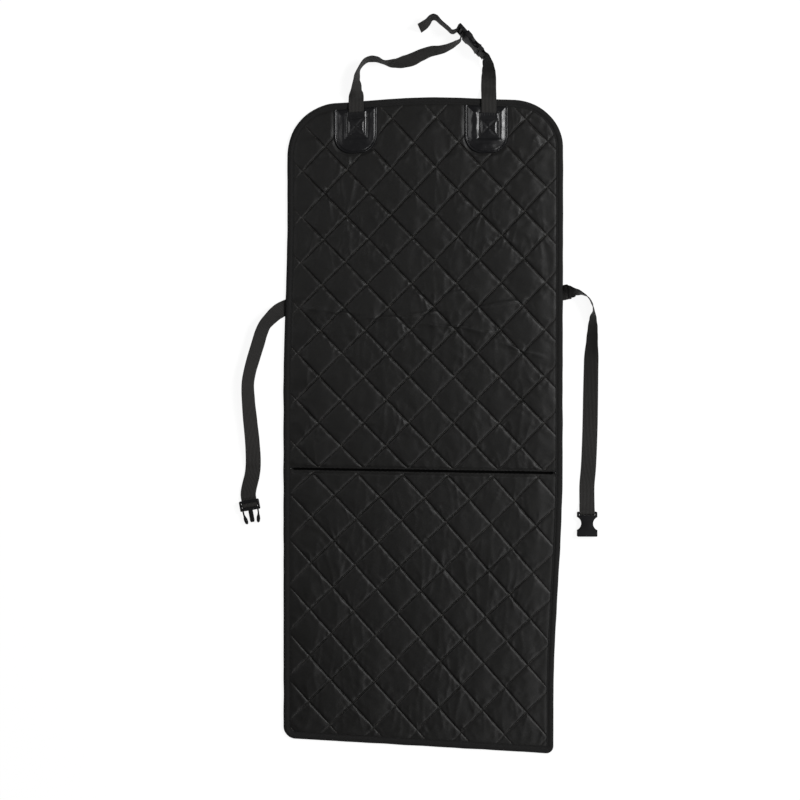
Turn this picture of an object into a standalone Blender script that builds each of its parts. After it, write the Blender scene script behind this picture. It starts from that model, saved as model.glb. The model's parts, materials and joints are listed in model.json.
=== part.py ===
"""Quilted dog cover for one car seat, lying flat with its webbing straps and clips.

Metres, +Z up, +Y towards the headrest end. The pad is laid out as a flat pattern in
(u, v) and then laid down with the slight lean and skew of the real cover.
"""

import math

import bmesh
import bpy
from mathutils import Vector

GAP = 0.0003

# Pad pattern
HALF_WIDTH = 0.2303
HALF_HEIGHT = 0.5305
TOP_RADIUS = 0.082
FOOT_RADIUS_LEFT = 0.020
FOOT_RADIUS_RIGHT = 0.013
SEAM_V = -0.0772
SEAM_GAP = 0.0016
PUFF_TOP = 0.0082
GROOVE_TOP = 0.0032
EDGE_TOP = 0.0046
EDGE_FADE = 0.024

# Quilting, one diamond is QUILT_WIDE by QUILT_TALL
QUILT_WIDE = 0.0743
QUILT_TALL = 0.0765
QUILT_CELLS = 6
QUILT_FULLNESS = 0.6
UPPER_ANCHOR = (0.0145, 0.1165)
UPPER_QUILT_LEAN = 0.010
LOWER_ANCHOR = (0.0385, -0.2368)
LOWER_QUILT_LEAN = 0.013

# How the cover lies
TOP_NARROWING = 0.0029
TOP_LEAN = 0.0036
FOOT_NARROWING = 0.0077
FOOT_LEAN = 0.0075
UPPER_SKEW = 0.030
TOP_SKEW_LOSS = 0.012
LOWER_SKEW = 0.042
FOOT_SKEW = 0.014
CROWN_RISE = 0.008
CROWN_HALF = 0.200

# Edge binding
BINDING_WIDTH = 0.0115
BINDING_BOTTOM = 0.0017
BINDING_TOP = 0.0056
BINDING_CLOTH = 0.0010
FLANGE_INSET = 0.0018
FLANGE_BOTTOM = BINDING_BOTTOM + BINDING_CLOTH + GAP
FLANGE_TOP = BINDING_TOP - BINDING_CLOTH - GAP
CORE_INSET = BINDING_WIDTH + GAP
FLANGE_ROOT = 0.0015

# Seam tape under the joint of the two panels
TAPE_HALF_WIDTH = 0.012
TAPE_THICKNESS = 0.0008

# Leatherette patches that hold the head straps
PATCH_HALF_WIDTH = 0.036
PATCH_TOP_V = HALF_HEIGHT - BINDING_WIDTH - 0.0005
PATCH_RADIUS = 0.028
PATCH_SEAT = 0.0046
PATCH_BOTTOM = PATCH_SEAT + GAP
PATCH_TOP = PATCH_BOTTOM + 0.0011
PATCH_RIM_TOP = PATCH_TOP + 0.0003
LEFT_PATCH_U = -0.1161
LEFT_PATCH_FOOT_V = PATCH_TOP_V - 0.0700
RIGHT_PATCH_U = 0.1020
RIGHT_PATCH_FOOT_V = PATCH_TOP_V - 0.0760
HOOD_HALF = 0.0155
HOOD_TOP = 0.0078
SLIT_LENGTH = 0.0120
STITCH_HALF = 0.0135
STITCH_WIDTH = 0.0010
STITCH_TOP = HOOD_TOP + GAP + 0.0005

# Webbing
WEB_WIDTH = 0.025
WEB_THICKNESS = 0.0013
FLOOR_CLEARANCE = 0.0001
LAYER_PITCH = WEB_THICKNESS + 0.0005
LEFT_STRAP_ROOT = Vector((-HALF_WIDTH, 0.1907))
LEFT_STRAP_HEADING = -158.0
RIGHT_STRAP_ROOT = Vector((HALF_WIDTH, 0.2165))
HEAD_STRAP_ROOT = Vector((0.0, HALF_HEIGHT))

# Side-release clips
CLIP_HALF_WIDTH = 0.0166
SOCKET_LENGTH = 0.041
SOCKET_HALF_THICK = 0.00475
SOCKET_WAIST = 0.0095
SOCKET_NOTCH_START = 0.0085
SOCKET_NOTCH_END = 0.0345
CAVITY_HALF_WIDTH = 0.0138
CAVITY_HALF_THICK = 0.0026
CAVITY_START = 0.0155
PLUG_FRAME_LENGTH = 0.017
PLUG_HALF_THICK = 0.0026
SLOT_HALF_WIDTH = 0.0133
PLUG_WALL = 0.0020
PLUG_SLOT = 0.0044
PLUG_BAR = 0.0036
BAR_HALF_THICK = 0.0015

# Where the clips lie
HEAD_CLIP_START = Vector((0.0568, HALF_HEIGHT + 0.1219, 0.0173))
HEAD_CLIP_ANGLE = math.radians(-48.2)
HEAD_CLIP_ROLL = math.radians(81.0)
LEFT_CLIP_START = Vector((LEFT_STRAP_ROOT.x - 0.0569, LEFT_STRAP_ROOT.y - 0.3159, 0.0072))
LEFT_CLIP_ANGLE = math.radians(-80.0)
LEFT_CLIP_PITCH = math.radians(-4.6)
RIGHT_CLIP_START = Vector((RIGHT_STRAP_ROOT.x + 0.0400, RIGHT_STRAP_ROOT.y - 0.3609, 0.0049))


def clear_scene():
    for item in list(bpy.data.objects):
        bpy.data.objects.remove(item, do_unlink=True)


def ease(t):
    t = min(1.0, max(0.0, t))
    return t * t * (3.0 - 2.0 * t)


def lay(u, v, z):
    """Place a point of the flat pattern where it rests on the ground."""
    narrowing = TOP_NARROWING * ease((v - 0.05) / 0.30)
    narrowing += FOOT_NARROWING * ease((-0.06 - v) / 0.39)
    lean = TOP_LEAN * ease((v - 0.05) / 0.30)
    lean -= FOOT_LEAN * ease((-0.06 - v) / 0.39)
    skew = UPPER_SKEW * ease((v - 0.07) / 0.33)
    skew -= TOP_SKEW_LOSS * ease((v - 0.43) / 0.09)
    skew -= LOWER_SKEW * ease(-v / 0.18)
    skew -= FOOT_SKEW * ease((-0.40 - v) / 0.13)
    crown = CROWN_RISE * ease((v - 0.40) / 0.13)
    crown *= 0.5 + 0.5 * math.cos(math.pi * min(1.0, abs(u) / CROWN_HALF))
    x = u * (1.0 - narrowing / HALF_WIDTH) + lean
    return Vector((x, v + skew * u + crown, z))


def make_object(name, verts, faces, material=None):
    mesh = bpy.data.meshes.new(name)
    mesh.from_pydata([tuple(p) for p in verts], [], faces)
    bm = bmesh.new()
    bm.from_mesh(mesh)
    bmesh.ops.recalc_face_normals(bm, faces=bm.faces)
    bm.to_mesh(mesh)
    bm.free()
    obj = bpy.data.objects.new(name, mesh)
    bpy.context.scene.collection.objects.link(obj)
    if material:
        mesh.materials.append(material)
    return obj


def lay_object(obj):
    for vertex in obj.data.vertices:
        vertex.co = lay(*vertex.co)


def shade_smooth(obj, degrees=40.0):
    for polygon in obj.data.polygons:
        polygon.use_smooth = True
    obj.data.set_sharp_from_angle(angle=math.radians(degrees))


def combine(target, cutter, operation):
    """Join, cut or intersect target with cutter, and remove the cutter."""
    modifier = target.modifiers.new(operation.title(), "BOOLEAN")
    modifier.operation = operation
    modifier.solver = "EXACT"
    modifier.object = cutter
    bpy.context.view_layer.objects.active = target
    bpy.ops.object.modifier_apply(modifier=modifier.name)
    bpy.data.objects.remove(cutter, do_unlink=True)


def loft(name, rings, material=None, closed=False):
    """Skin a list of equal rings of points, capped unless the loft closes on itself."""
    count = len(rings[0])
    verts = [point for ring in rings for point in ring]
    faces = []
    spans = len(rings) if closed else len(rings) - 1
    for r in range(spans):
        here = r * count
        there = ((r + 1) % len(rings)) * count
        for k in range(count):
            nxt = (k + 1) % count
            faces.append((here + k, here + nxt, there + nxt, there + k))
    if not closed:
        faces.append(tuple(range(count - 1, -1, -1)))
        last = (len(rings) - 1) * count
        faces.append(tuple(range(last, last + count)))
    return make_object(name, verts, faces, material)


def inset_outline(points, amount):
    """Move a counter-clockwise outline inwards along its corner normals."""
    result = []
    count = len(points)
    for k in range(count):
        before = Vector(points[k - 1])
        here = Vector(points[k])
        after = Vector(points[(k + 1) % count])
        d_in = (here - before).normalized()
        d_out = (after - here).normalized()
        n_in = Vector((-d_in.y, d_in.x))
        n_out = Vector((-d_out.y, d_out.x))
        normal = (n_in + n_out).normalized()
        stretch = 1.0 / max(0.5, normal.dot(n_in))
        result.append(tuple(here + normal * amount * stretch))
    return result


def plate(name, outline, low, high, chamfer=0.0, material=None):
    """A flat plate of the given outline, with chamfered rims if asked."""
    levels = [(0.0, low), (0.0, high)]
    if chamfer:
        levels = [
            (chamfer, low),
            (0.0, low + chamfer),
            (0.0, high - chamfer),
            (chamfer, high),
        ]
    rings = []
    for amount, z in levels:
        ring = inset_outline(outline, amount) if amount else outline
        rings.append([(p[0], p[1], z) for p in ring])
    return loft(name, rings, material)


def box(name, x0, x1, y0, y1, z0, z1):
    return plate(name, [(x0, y0), (x1, y0), (x1, y1), (x0, y1)], z0, z1)


def arc(cx, cy, radius, start, end, steps):
    """Points of an arc, angles in degrees."""
    points = []
    for k in range(steps + 1):
        angle = math.radians(start + (end - start) * k / steps)
        points.append((cx + radius * math.cos(angle), cy + radius * math.sin(angle)))
    return points


def pad_stations():
    """Points of the pad outline with their outward normals, counter-clockwise."""
    corners = [
        (-1, -1, FOOT_RADIUS_LEFT, 180, 5),
        (1, -1, FOOT_RADIUS_RIGHT, 270, 5),
        (1, 1, TOP_RADIUS, 0, 9),
        (-1, 1, TOP_RADIUS, 90, 9),
    ]
    runs = [7, 16, 6, 16]
    stations = []
    for (sx, sy, radius, start, steps), run in zip(corners, runs):
        cx = sx * (HALF_WIDTH - radius)
        cy = sy * (HALF_HEIGHT - radius)
        for k in range(steps + 1):
            angle = math.radians(start + 90.0 * k / steps)
            normal = Vector((math.cos(angle), math.sin(angle)))
            stations.append((Vector((cx, cy)) + normal * radius, normal))
        stations.append(run)
    full = []
    for k, item in enumerate(stations):
        if not isinstance(item, int):
            full.append(item)
            continue
        begin, normal = stations[k - 1]
        end = stations[(k + 1) % len(stations)][0]
        for step in range(1, item):
            full.append((begin.lerp(end, step / item), normal))
    return full


def panel_outline(inset, upper):
    """Outline of the upper or lower panel, moved in by inset at the binding."""
    limit = SEAM_V + (0.5 if upper else -0.5) * SEAM_GAP
    side = HALF_WIDTH - inset
    kept = []
    for point, normal in pad_stations():
        moved = point - normal * inset
        beyond = moved.y > limit + 0.004 if upper else moved.y < limit - 0.004
        if beyond:
            kept.append((moved.x, moved.y))
    if upper:
        kept.sort(key=lambda p: math.atan2(-p[0], p[1] - limit))
        return [(side, limit)] + kept + [(-side, limit)]
    kept.sort(key=lambda p: math.atan2(p[0], limit - p[1]))
    return [(-side, limit)] + kept + [(side, limit)]


def edge_distance(u, v):
    """Distance in from the pad outline, negative outside it."""
    du = HALF_WIDTH - abs(u)
    dv = HALF_HEIGHT - abs(v)
    if v > 0 and du < TOP_RADIUS and dv < TOP_RADIUS:
        return TOP_RADIUS - math.hypot(TOP_RADIUS - du, TOP_RADIUS - dv)
    return min(du, dv)


def quilt_height(u, v, s, t):
    """Height of the quilted face; s and t are whole numbers on the stitch lines."""
    ds = math.sin(math.pi * (s % 1.0))
    dt = math.sin(math.pi * (t % 1.0))
    puff = max(0.0, ds * dt) ** QUILT_FULLNESS
    seam = max(0.0, abs(v - SEAM_V) - 0.5 * SEAM_GAP)
    inside = max(0.0, edge_distance(u, v) - 0.5 * CORE_INSET)
    fullness = ease(inside / EDGE_FADE) * ease(0.35 + 0.65 * seam / EDGE_FADE)
    base = EDGE_TOP + (GROOVE_TOP - EDGE_TOP) * ease(inside / EDGE_FADE)
    return base + (PUFF_TOP - GROOVE_TOP) * puff * fullness


def quilt_block(name, anchor, quilt_lean, v_low, v_high):
    """A block larger than one panel with the quilted diamonds as its top face."""
    step_u = QUILT_WIDE / QUILT_CELLS
    step_v = QUILT_TALL / QUILT_CELLS
    spread = quilt_lean * (v_high - v_low)
    i_low = math.floor((-HALF_WIDTH - spread - anchor[0]) / step_u)
    i_high = math.ceil((HALF_WIDTH + spread - anchor[0]) / step_u)
    j_low = math.floor((v_low - anchor[1]) / step_v)
    j_high = math.ceil((v_high - anchor[1]) / step_v)
    verts = []
    index = {}
    for j in range(j_low, j_high + 1):
        for i in range(i_low, i_high + 1):
            v = anchor[1] + j * step_v
            u = anchor[0] + i * step_u + quilt_lean * (v - anchor[1])
            s = (i + j) / QUILT_CELLS
            t = (i - j) / QUILT_CELLS
            index[i, j] = len(verts)
            verts.append((u, v, quilt_height(u, v, s, t)))
    faces = []
    for j in range(j_low, j_high):
        for i in range(i_low, i_high):
            a, b = index[i, j], index[i + 1, j]
            c, d = index[i + 1, j + 1], index[i, j + 1]
            rising = (i - j) % QUILT_CELLS
            falling = (i + j + 1) % QUILT_CELLS
            if min(rising, QUILT_CELLS - rising) <= min(falling, QUILT_CELLS - falling):
                faces += [(a, b, c), (a, c, d)]
            else:
                faces += [(a, b, d), (b, c, d)]
    rim = [index[i, j_low] for i in range(i_low, i_high + 1)]
    rim += [index[i_high, j] for j in range(j_low + 1, j_high + 1)]
    rim += [index[i, j_high] for i in range(i_high - 1, i_low - 1, -1)]
    rim += [index[i_low, j] for j in range(j_high - 1, j_low, -1)]
    base = []
    for k in rim:
        base.append(len(verts))
        verts.append((verts[k][0], verts[k][1], 0.0))
    for k in range(len(rim)):
        nxt = (k + 1) % len(rim)
        faces.append((rim[k], base[k], base[nxt], rim[nxt]))
    faces.append(tuple(reversed(base)))
    return make_object(name, verts, faces)


def panel_flange(upper):
    """Thin rim of a panel that is held inside the binding."""
    outer = panel_outline(FLANGE_INSET, upper)
    inner = panel_outline(CORE_INSET + FLANGE_ROOT, upper)
    away = 0.0005 if upper else -0.0005
    for ring in (outer, inner):
        ring[0] = (ring[0][0], ring[0][1] + away)
        ring[-1] = (ring[-1][0], ring[-1][1] + away)
    outline = outer + list(reversed(inner))
    return plate("flange", outline, FLANGE_BOTTOM, FLANGE_TOP)


def patch_outline(centre_u, foot_v, grow=0.0, top_v=PATCH_TOP_V):
    half = PATCH_HALF_WIDTH + grow
    radius = PATCH_RADIUS + grow
    low = foot_v - grow
    points = arc(centre_u - half + radius, low + radius, radius, 180, 270, 7)
    points += arc(centre_u + half - radius, low + radius, radius, 270, 360, 7)
    points += [(centre_u + half, top_v + grow), (centre_u - half, top_v + grow)]
    return points


def quilted_panel(name, upper, material):
    anchor = UPPER_ANCHOR if upper else LOWER_ANCHOR
    quilt_lean = UPPER_QUILT_LEAN if upper else LOWER_QUILT_LEAN
    v_low = SEAM_V if upper else -HALF_HEIGHT
    v_high = HALF_HEIGHT if upper else SEAM_V
    panel = quilt_block(name, anchor, quilt_lean, v_low - 0.004, v_high + 0.004)
    outline = panel_outline(CORE_INSET, upper)
    combine(panel, plate("panel_outline", outline, -0.01, 0.03), "INTERSECT")
    combine(panel, panel_flange(upper), "UNION")
    reach = TAPE_HALF_WIDTH + 2 * GAP
    room = box("tape_room", -0.3, 0.3, SEAM_V - reach, SEAM_V + reach, -0.01, TAPE_THICKNESS + GAP)
    combine(panel, room, "DIFFERENCE")
    if upper:
        for centre, foot in ((LEFT_PATCH_U, LEFT_PATCH_FOOT_V), (RIGHT_PATCH_U, RIGHT_PATCH_FOOT_V)):
            seat = patch_outline(centre, foot, grow=2 * GAP)
            combine(panel, plate("patch_seat", seat, PATCH_SEAT, 0.03), "DIFFERENCE")
    panel.data.materials.clear()
    panel.data.materials.append(material)
    lay_object(panel)
    shade_smooth(panel)
    return panel


def edge_binding(material):
    top = BINDING_TOP
    low = BINDING_BOTTOM
    cloth = BINDING_CLOTH
    section = [
        (BINDING_WIDTH, top - cloth),
        (BINDING_WIDTH, top - 0.0004),
        (BINDING_WIDTH * 0.5, top),
        (0.0014, top - 0.0003),
        (0.0, top - 0.0014),
        (0.0, low + 0.0012),
        (0.0012, low),
        (BINDING_WIDTH, low),
        (BINDING_WIDTH, low + cloth),
        (0.0016, low + cloth),
        (0.0012, low + cloth + 0.0005),
        (0.0012, top - cloth - 0.0005),
        (0.0016, top - cloth),
    ]
    rings = []
    for point, normal in pad_stations():
        ring = []
        for depth, z in section:
            moved = point - normal * depth
            ring.append(lay(moved.x, moved.y, z))
        rings.append(ring)
    binding = loft("edge_binding", rings, material, closed=True)
    shade_smooth(binding)
    return binding


def seam_tape(material):
    half = HALF_WIDTH - CORE_INSET - GAP
    steps = 8
    rings = []
    for k in range(steps + 1):
        u = -half + 2 * half * k / steps
        ring = []
        for dv, z in ((-1, 0.0), (1, 0.0), (1, TAPE_THICKNESS), (-1, TAPE_THICKNESS)):
            ring.append(lay(u, SEAM_V + dv * TAPE_HALF_WIDTH, z))
        rings.append(ring)
    return loft("seam_tape", rings, material)


def hood_centre(foot_v):
    return foot_v + 0.0410


def strap_patch(name, centre_u, foot_v, strap_u, material):
    """Leatherette patch with a raised rim, a slit and a hood over the webbing's end."""
    outline = patch_outline(centre_u, foot_v)
    levels = [
        (0.0, PATCH_BOTTOM),
        (0.0, PATCH_TOP - 0.0003),
        (0.0008, PATCH_RIM_TOP),
        (0.0028, PATCH_RIM_TOP),
        (0.0038, PATCH_TOP),
    ]
    rings = []
    for amount, z in levels:
        ring = inset_outline(outline, amount) if amount else outline
        rings.append([(p[0], p[1], z) for p in ring])
    patch = loft(name, rings)
    middle = hood_centre(foot_v)
    low_v = middle - HOOD_HALF
    high_v = middle + HOOD_HALF
    left = strap_u - HOOD_HALF
    right = strap_u + HOOD_HALF
    corners = [(left, low_v), (right, low_v), (right, high_v), (left, high_v)]
    spread = inset_outline(corners, -0.0016)
    shallow = inset_outline(corners, -0.0004)
    crown = inset_outline(corners, 0.0010)
    rings = [
        [(p[0], p[1], PATCH_BOTTOM + 0.0002) for p in spread],
        [(p[0], p[1], PATCH_TOP) for p in spread],
        [(p[0], p[1], HOOD_TOP - 0.0005) for p in shallow],
        [(p[0], p[1], HOOD_TOP) for p in crown],
    ]
    combine(patch, loft("hood", rings), "UNION")
    half = 0.5 * WEB_WIDTH + 0.0005
    ceiling = PATCH_BOTTOM + 0.0001 + WEB_THICKNESS + 0.0004
    tunnel = box("tunnel", strap_u - half, strap_u + half, low_v + 0.0026, high_v + 0.001, 0.0, ceiling)
    combine(patch, tunnel, "DIFFERENCE")
    slit = box("slit", strap_u - half, strap_u + half, high_v - 0.001, high_v + SLIT_LENGTH, 0.0, 0.03)
    combine(patch, slit, "DIFFERENCE")
    patch.data.materials.clear()
    patch.data.materials.append(material)
    lay_object(patch)
    return patch


def box_stitch(name, strap_u, foot_v, material):
    """Thread sewn as a square with a cross, lying on the hood."""
    middle = hood_centre(foot_v)
    half = STITCH_HALF
    low = HOOD_TOP + GAP
    outline = [(-half, -half), (half, -half), (half, half), (-half, half)]
    outline = [(strap_u + x, middle + y) for x, y in outline]
    stitch = plate(name, outline, low, STITCH_TOP)
    near = STITCH_WIDTH * 0.71
    far = half - STITCH_WIDTH
    for quarter in range(4):
        window = []
        for x, y in ((far, -far + near), (far, far - near), (near, 0.0)):
            for _ in range(quarter):
                x, y = -y, x
            window.append((strap_u + x, middle + y))
        combine(stitch, plate("window", window, 0.0, 0.03), "DIFFERENCE")
    stitch.data.materials.clear()
    stitch.data.materials.append(material)
    lay_object(stitch)
    return stitch


class Frame:
    """A clip's own axes: along it, across its width and out of its face."""

    def __init__(self, origin, angle, roll=0.0, pitch=0.0):
        along = Vector((math.cos(angle), math.sin(angle), 0.0))
        side = Vector((-along.y, along.x, 0.0))
        self.origin = Vector(origin)
        self.along = along * math.cos(pitch) + Vector((0, 0, math.sin(pitch)))
        self.across = side * math.cos(roll) + Vector((0, 0, math.sin(roll)))
        self.face = self.along.cross(self.across).normalized()

    def turned(self, distance):
        """The frame of a mate that faces this one at a distance along it."""
        mate = Frame(self.origin, 0.0)
        mate.origin = self.origin + self.along * distance
        mate.along = -self.along
        mate.across = self.across
        mate.face = -self.face
        return mate

    def at(self, x, y, z):
        return self.origin + self.along * x + self.across * y + self.face * z

    def place(self, obj):
        for vertex in obj.data.vertices:
            vertex.co = self.at(*vertex.co)
        return obj


def mirrored(points):
    """Close a half outline, given from the start to the end, with its mirror image."""
    return points + [(x, -y) for x, y in reversed(points)]


def clip_socket(name, frame, material):
    """Hollow half of a side-release clip: X runs from the webbing bar to the mouth."""
    chord = 0.5 * (SOCKET_NOTCH_END - SOCKET_NOTCH_START)
    depth = CLIP_HALF_WIDTH - SOCKET_WAIST
    radius = (chord * chord + depth * depth) / (2 * depth)
    centre_x = 0.5 * (SOCKET_NOTCH_START + SOCKET_NOTCH_END)
    centre_y = SOCKET_WAIST + radius
    half_angle = math.degrees(math.asin(chord / radius))
    side = [(0.0, -CLIP_HALF_WIDTH + 0.0015), (0.0012, -CLIP_HALF_WIDTH)]
    side += arc(centre_x, -centre_y, radius, 90 + half_angle, 90 - half_angle, 10)
    side += [(SOCKET_LENGTH - 0.0010, -CLIP_HALF_WIDTH), (SOCKET_LENGTH, -CLIP_HALF_WIDTH + 0.001)]
    thick = SOCKET_HALF_THICK
    socket = plate(name, mirrored(side), -thick, thick, 0.0009)
    cavity = box(
        "cavity", CAVITY_START, SOCKET_LENGTH + 0.01, -CAVITY_HALF_WIDTH,
        CAVITY_HALF_WIDTH, -CAVITY_HALF_THICK, CAVITY_HALF_THICK,
    )
    combine(socket, cavity, "DIFFERENCE")
    width = SLOT_HALF_WIDTH
    for low, high in ((-0.02, -0.0030), (0.0030, 0.02)):
        step = box("step", -0.01, 0.0080, -0.03, 0.03, low, high)
        combine(socket, step, "DIFFERENCE")
    combine(socket, box("slot", 0.0036, 0.0078, -width, width, -0.02, 0.02), "DIFFERENCE")
    for low, high in ((-0.02, -BAR_HALF_THICK), (BAR_HALF_THICK, 0.02)):
        relief = box("relief", -0.01, 0.0040, -width, width, low, high)
        combine(socket, relief, "DIFFERENCE")
    end = box("bar_end", -0.01, 0.0006, -width, width, -0.02, 0.02)
    combine(socket, end, "DIFFERENCE")
    socket.data.materials.clear()
    socket.data.materials.append(material)
    shade_smooth(socket, 30.0)
    return frame.place(socket)


def clip_plug(name, frame, material):
    """Barbed half of a side-release clip: X runs from its outer bar to its prongs."""
    half = CLIP_HALF_WIDTH
    corner = 0.0022
    side = arc(corner, -half + corner, corner, 180, 270, 4)
    side += [(PLUG_FRAME_LENGTH - 0.001, -half), (PLUG_FRAME_LENGTH, -half + 0.001)]
    plug = plate(name, mirrored(side), -PLUG_HALF_THICK, PLUG_HALF_THICK, 0.0006)
    width = SLOT_HALF_WIDTH
    for start in (PLUG_WALL, PLUG_WALL + PLUG_SLOT + PLUG_BAR):
        slot = box("slot", start, start + PLUG_SLOT, -width, width, -0.02, 0.02)
        combine(plug, slot, "DIFFERENCE")
    for low, high in ((-0.02, -BAR_HALF_THICK), (BAR_HALF_THICK, 0.02)):
        relief = box("relief", 0.0055, 0.0110, -width, width, low, high)
        combine(plug, relief, "DIFFERENCE")
    tongue = [(0.0155, -0.0037), (0.0345, -0.0037), (0.0368, -0.0026)]
    combine(plug, plate("tongue", mirrored(tongue), -0.0016, 0.0016, 0.0004), "UNION")
    prong = [
        (0.0155, 0.0112), (0.0230, 0.0108), (0.0290, 0.0094), (0.0370, 0.0072),
        (0.0393, 0.0084), (0.0390, 0.0104), (0.0345, 0.0131), (0.0290, 0.0134),
        (0.0275, 0.0122), (0.0230, 0.0131), (0.0155, 0.0137),
    ]
    for sign in (1, -1):
        outline = [(x, sign * y) for x, y in prong]
        if sign < 0:
            outline.reverse()
        combine(plug, plate("prong", outline, -0.0020, 0.0020, 0.0004), "UNION")
    plug.data.materials.clear()
    plug.data.materials.append(material)
    shade_smooth(plug, 30.0)
    return frame.place(plug)


def floor_height(across):
    """Height of the webbing's centre when its low edge rests on the ground."""
    rise = abs(across.z)
    flat = math.sqrt(max(0.0, 1.0 - rise * rise))
    return 0.5 * WEB_WIDTH * rise + 0.5 * WEB_THICKNESS * flat + FLOOR_CLEARANCE


def banked(x, y, heading, bank, lift=0.0):
    """A station on the ground: heading of travel and bank of the webbing in degrees."""
    direction = math.radians(heading)
    left = Vector((-math.sin(direction), math.cos(direction), 0.0))
    tip = math.radians(bank)
    across = left * math.cos(tip) + Vector((0, 0, math.sin(tip)))
    return Vector((x, y, lift)), across


def placed(point, across):
    """A station at a known height above the ground."""
    return Vector((point.x, point.y, point.z - floor_height(across))), across.copy()


def path_stations(root, path, banks_at, lifts=()):
    """Ground stations at places out from root, headed along the path, banked as listed.

    The last points may be lifted off the ground, or the first when lifts starts high.
    """
    raised = [0.0] * len(path)
    if lifts and lifts[0] > lifts[-1]:
        raised[:len(lifts)] = lifts
    elif lifts:
        raised[-len(lifts):] = lifts
    stations = []
    for k, (x, y) in enumerate(path):
        before = path[max(0, k - 1)]
        after = path[min(len(path) - 1, k + 1)]
        heading = math.degrees(math.atan2(after[1] - before[1], after[0] - before[0]))
        stations.append(banked(root.x + x, root.y + y, heading, banks_at[k], raised[k]))
    return stations


def catmull(values, k, t, knots):
    """Centripetal Catmull-Rom value between stations k and k + 1."""
    p0, p1, p2, p3 = values[k - 1], values[k], values[k + 1], values[k + 2]
    t0, t1, t2, t3 = knots[k - 1], knots[k], knots[k + 1], knots[k + 2]
    now = t1 + (t2 - t1) * t
    a1 = p0 * ((t1 - now) / (t1 - t0)) + p1 * ((now - t0) / (t1 - t0))
    a2 = p1 * ((t2 - now) / (t2 - t1)) + p2 * ((now - t1) / (t2 - t1))
    a3 = p2 * ((t3 - now) / (t3 - t2)) + p3 * ((now - t2) / (t3 - t2))
    b1 = a1 * ((t2 - now) / (t2 - t0)) + a2 * ((now - t0) / (t2 - t0))
    b2 = a2 * ((t3 - now) / (t3 - t1)) + a3 * ((now - t1) / (t3 - t1))
    return b1 * ((t2 - now) / (t2 - t1)) + b2 * ((now - t1) / (t2 - t1))


def ribbon_faces(rings):
    """Faces of a ribbon of four-cornered rings, split alike above and below."""
    faces = [(3, 2, 1, 0)]
    for r in range(rings - 1):
        a, b, c, d = (4 * r + k for k in range(4))
        e, f, g, h = (4 * (r + 1) + k for k in range(4))
        faces += [(a, b, f), (a, f, e), (b, c, g), (b, g, f)]
        faces += [(d, g, c), (d, h, g), (d, a, e), (d, e, h)]
    last = 4 * (rings - 1)
    faces.append((last, last + 1, last + 2, last + 3))
    return faces


def webbing(name, stations, material, step=0.013, turn=14.0):
    """Flat webbing along stations of (place and lift, direction across)."""
    points = [place for place, _ in stations]
    acrosses = [across for _, across in stations]
    points = [points[0] * 2 - points[1]] + points + [points[-1] * 2 - points[-2]]
    acrosses = [acrosses[0]] + acrosses + [acrosses[-1]]
    knots = [0.0]
    for k in range(1, len(points)):
        knots.append(knots[-1] + max(1e-4, (points[k] - points[k - 1]).length) ** 0.5)
    places = []
    sides = []
    for k in range(1, len(points) - 2):
        length = (points[k + 1] - points[k]).length
        twist = math.degrees(acrosses[k].angle(acrosses[k + 1]))
        pieces = max(1, round(length / step), math.ceil(twist / turn))
        for piece in range(pieces + (1 if k == len(points) - 3 else 0)):
            t = piece / pieces
            place = catmull(points, k, t, knots)
            side = acrosses[k].lerp(acrosses[k + 1], ease(t)).normalized()
            places.append(Vector((place.x, place.y, max(0.0, place.z) + floor_height(side))))
            sides.append(side)
    verts = []
    for k, place in enumerate(places):
        before = places[max(0, k - 1)]
        after = places[min(len(places) - 1, k + 1)]
        tangent = (after - before).normalized()
        side = sides[k] - tangent * sides[k].dot(tangent)
        side.normalize()
        normal = tangent.cross(side)
        half_w = side * (0.5 * WEB_WIDTH)
        half_t = normal * (0.5 * WEB_THICKNESS)
        low = place.z - abs(half_w.z) - abs(half_t.z)
        centre = place + Vector((0, 0, max(0.0, FLOOR_CLEARANCE - low)))
        verts += [centre + half_w + half_t, centre - half_w + half_t,
                  centre - half_w - half_t, centre + half_w - half_t]
    ribbon = make_object(name, verts, ribbon_faces(len(places)), material)
    shade_smooth(ribbon)
    return ribbon


def patch_stations(strap_u, foot_v):
    """Stations from the webbing's sewn end, up through the slit and over the binding."""
    middle = hood_centre(foot_v)
    end = middle - HOOD_HALF + 0.0034
    slit = middle + HOOD_HALF
    sunk = PATCH_BOTTOM + 0.0001 + 0.5 * WEB_THICKNESS
    raised = PATCH_RIM_TOP + 0.0006 + 0.5 * WEB_THICKNESS
    heights = [(end, sunk), (slit - 0.001, sunk), (slit + SLIT_LENGTH, raised),
               (HALF_HEIGHT + 0.002, raised)]
    stations = []
    for v, z in heights:
        across = (lay(strap_u - 0.01, v, z) - lay(strap_u + 0.01, v, z)).normalized()
        stations.append(placed(lay(strap_u, v, z), across))
    return stations


def plug_loop(frame, across):
    """Webbing round the plug's middle bar, from its face side and back to it."""
    path = [(0.0166, 0.0072), (0.0146, 0.0050), (0.0130, 0.0027), (0.0122, 0.0003),
            (0.0112, -0.0018), (0.0082, -0.0028), (0.0054, -0.0021), (0.0043, -0.0003),
            (0.0040, 0.0020), (0.0036, 0.0048)]
    return [placed(frame.at(x, 0.0, z), across) for x, z in path]


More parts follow.
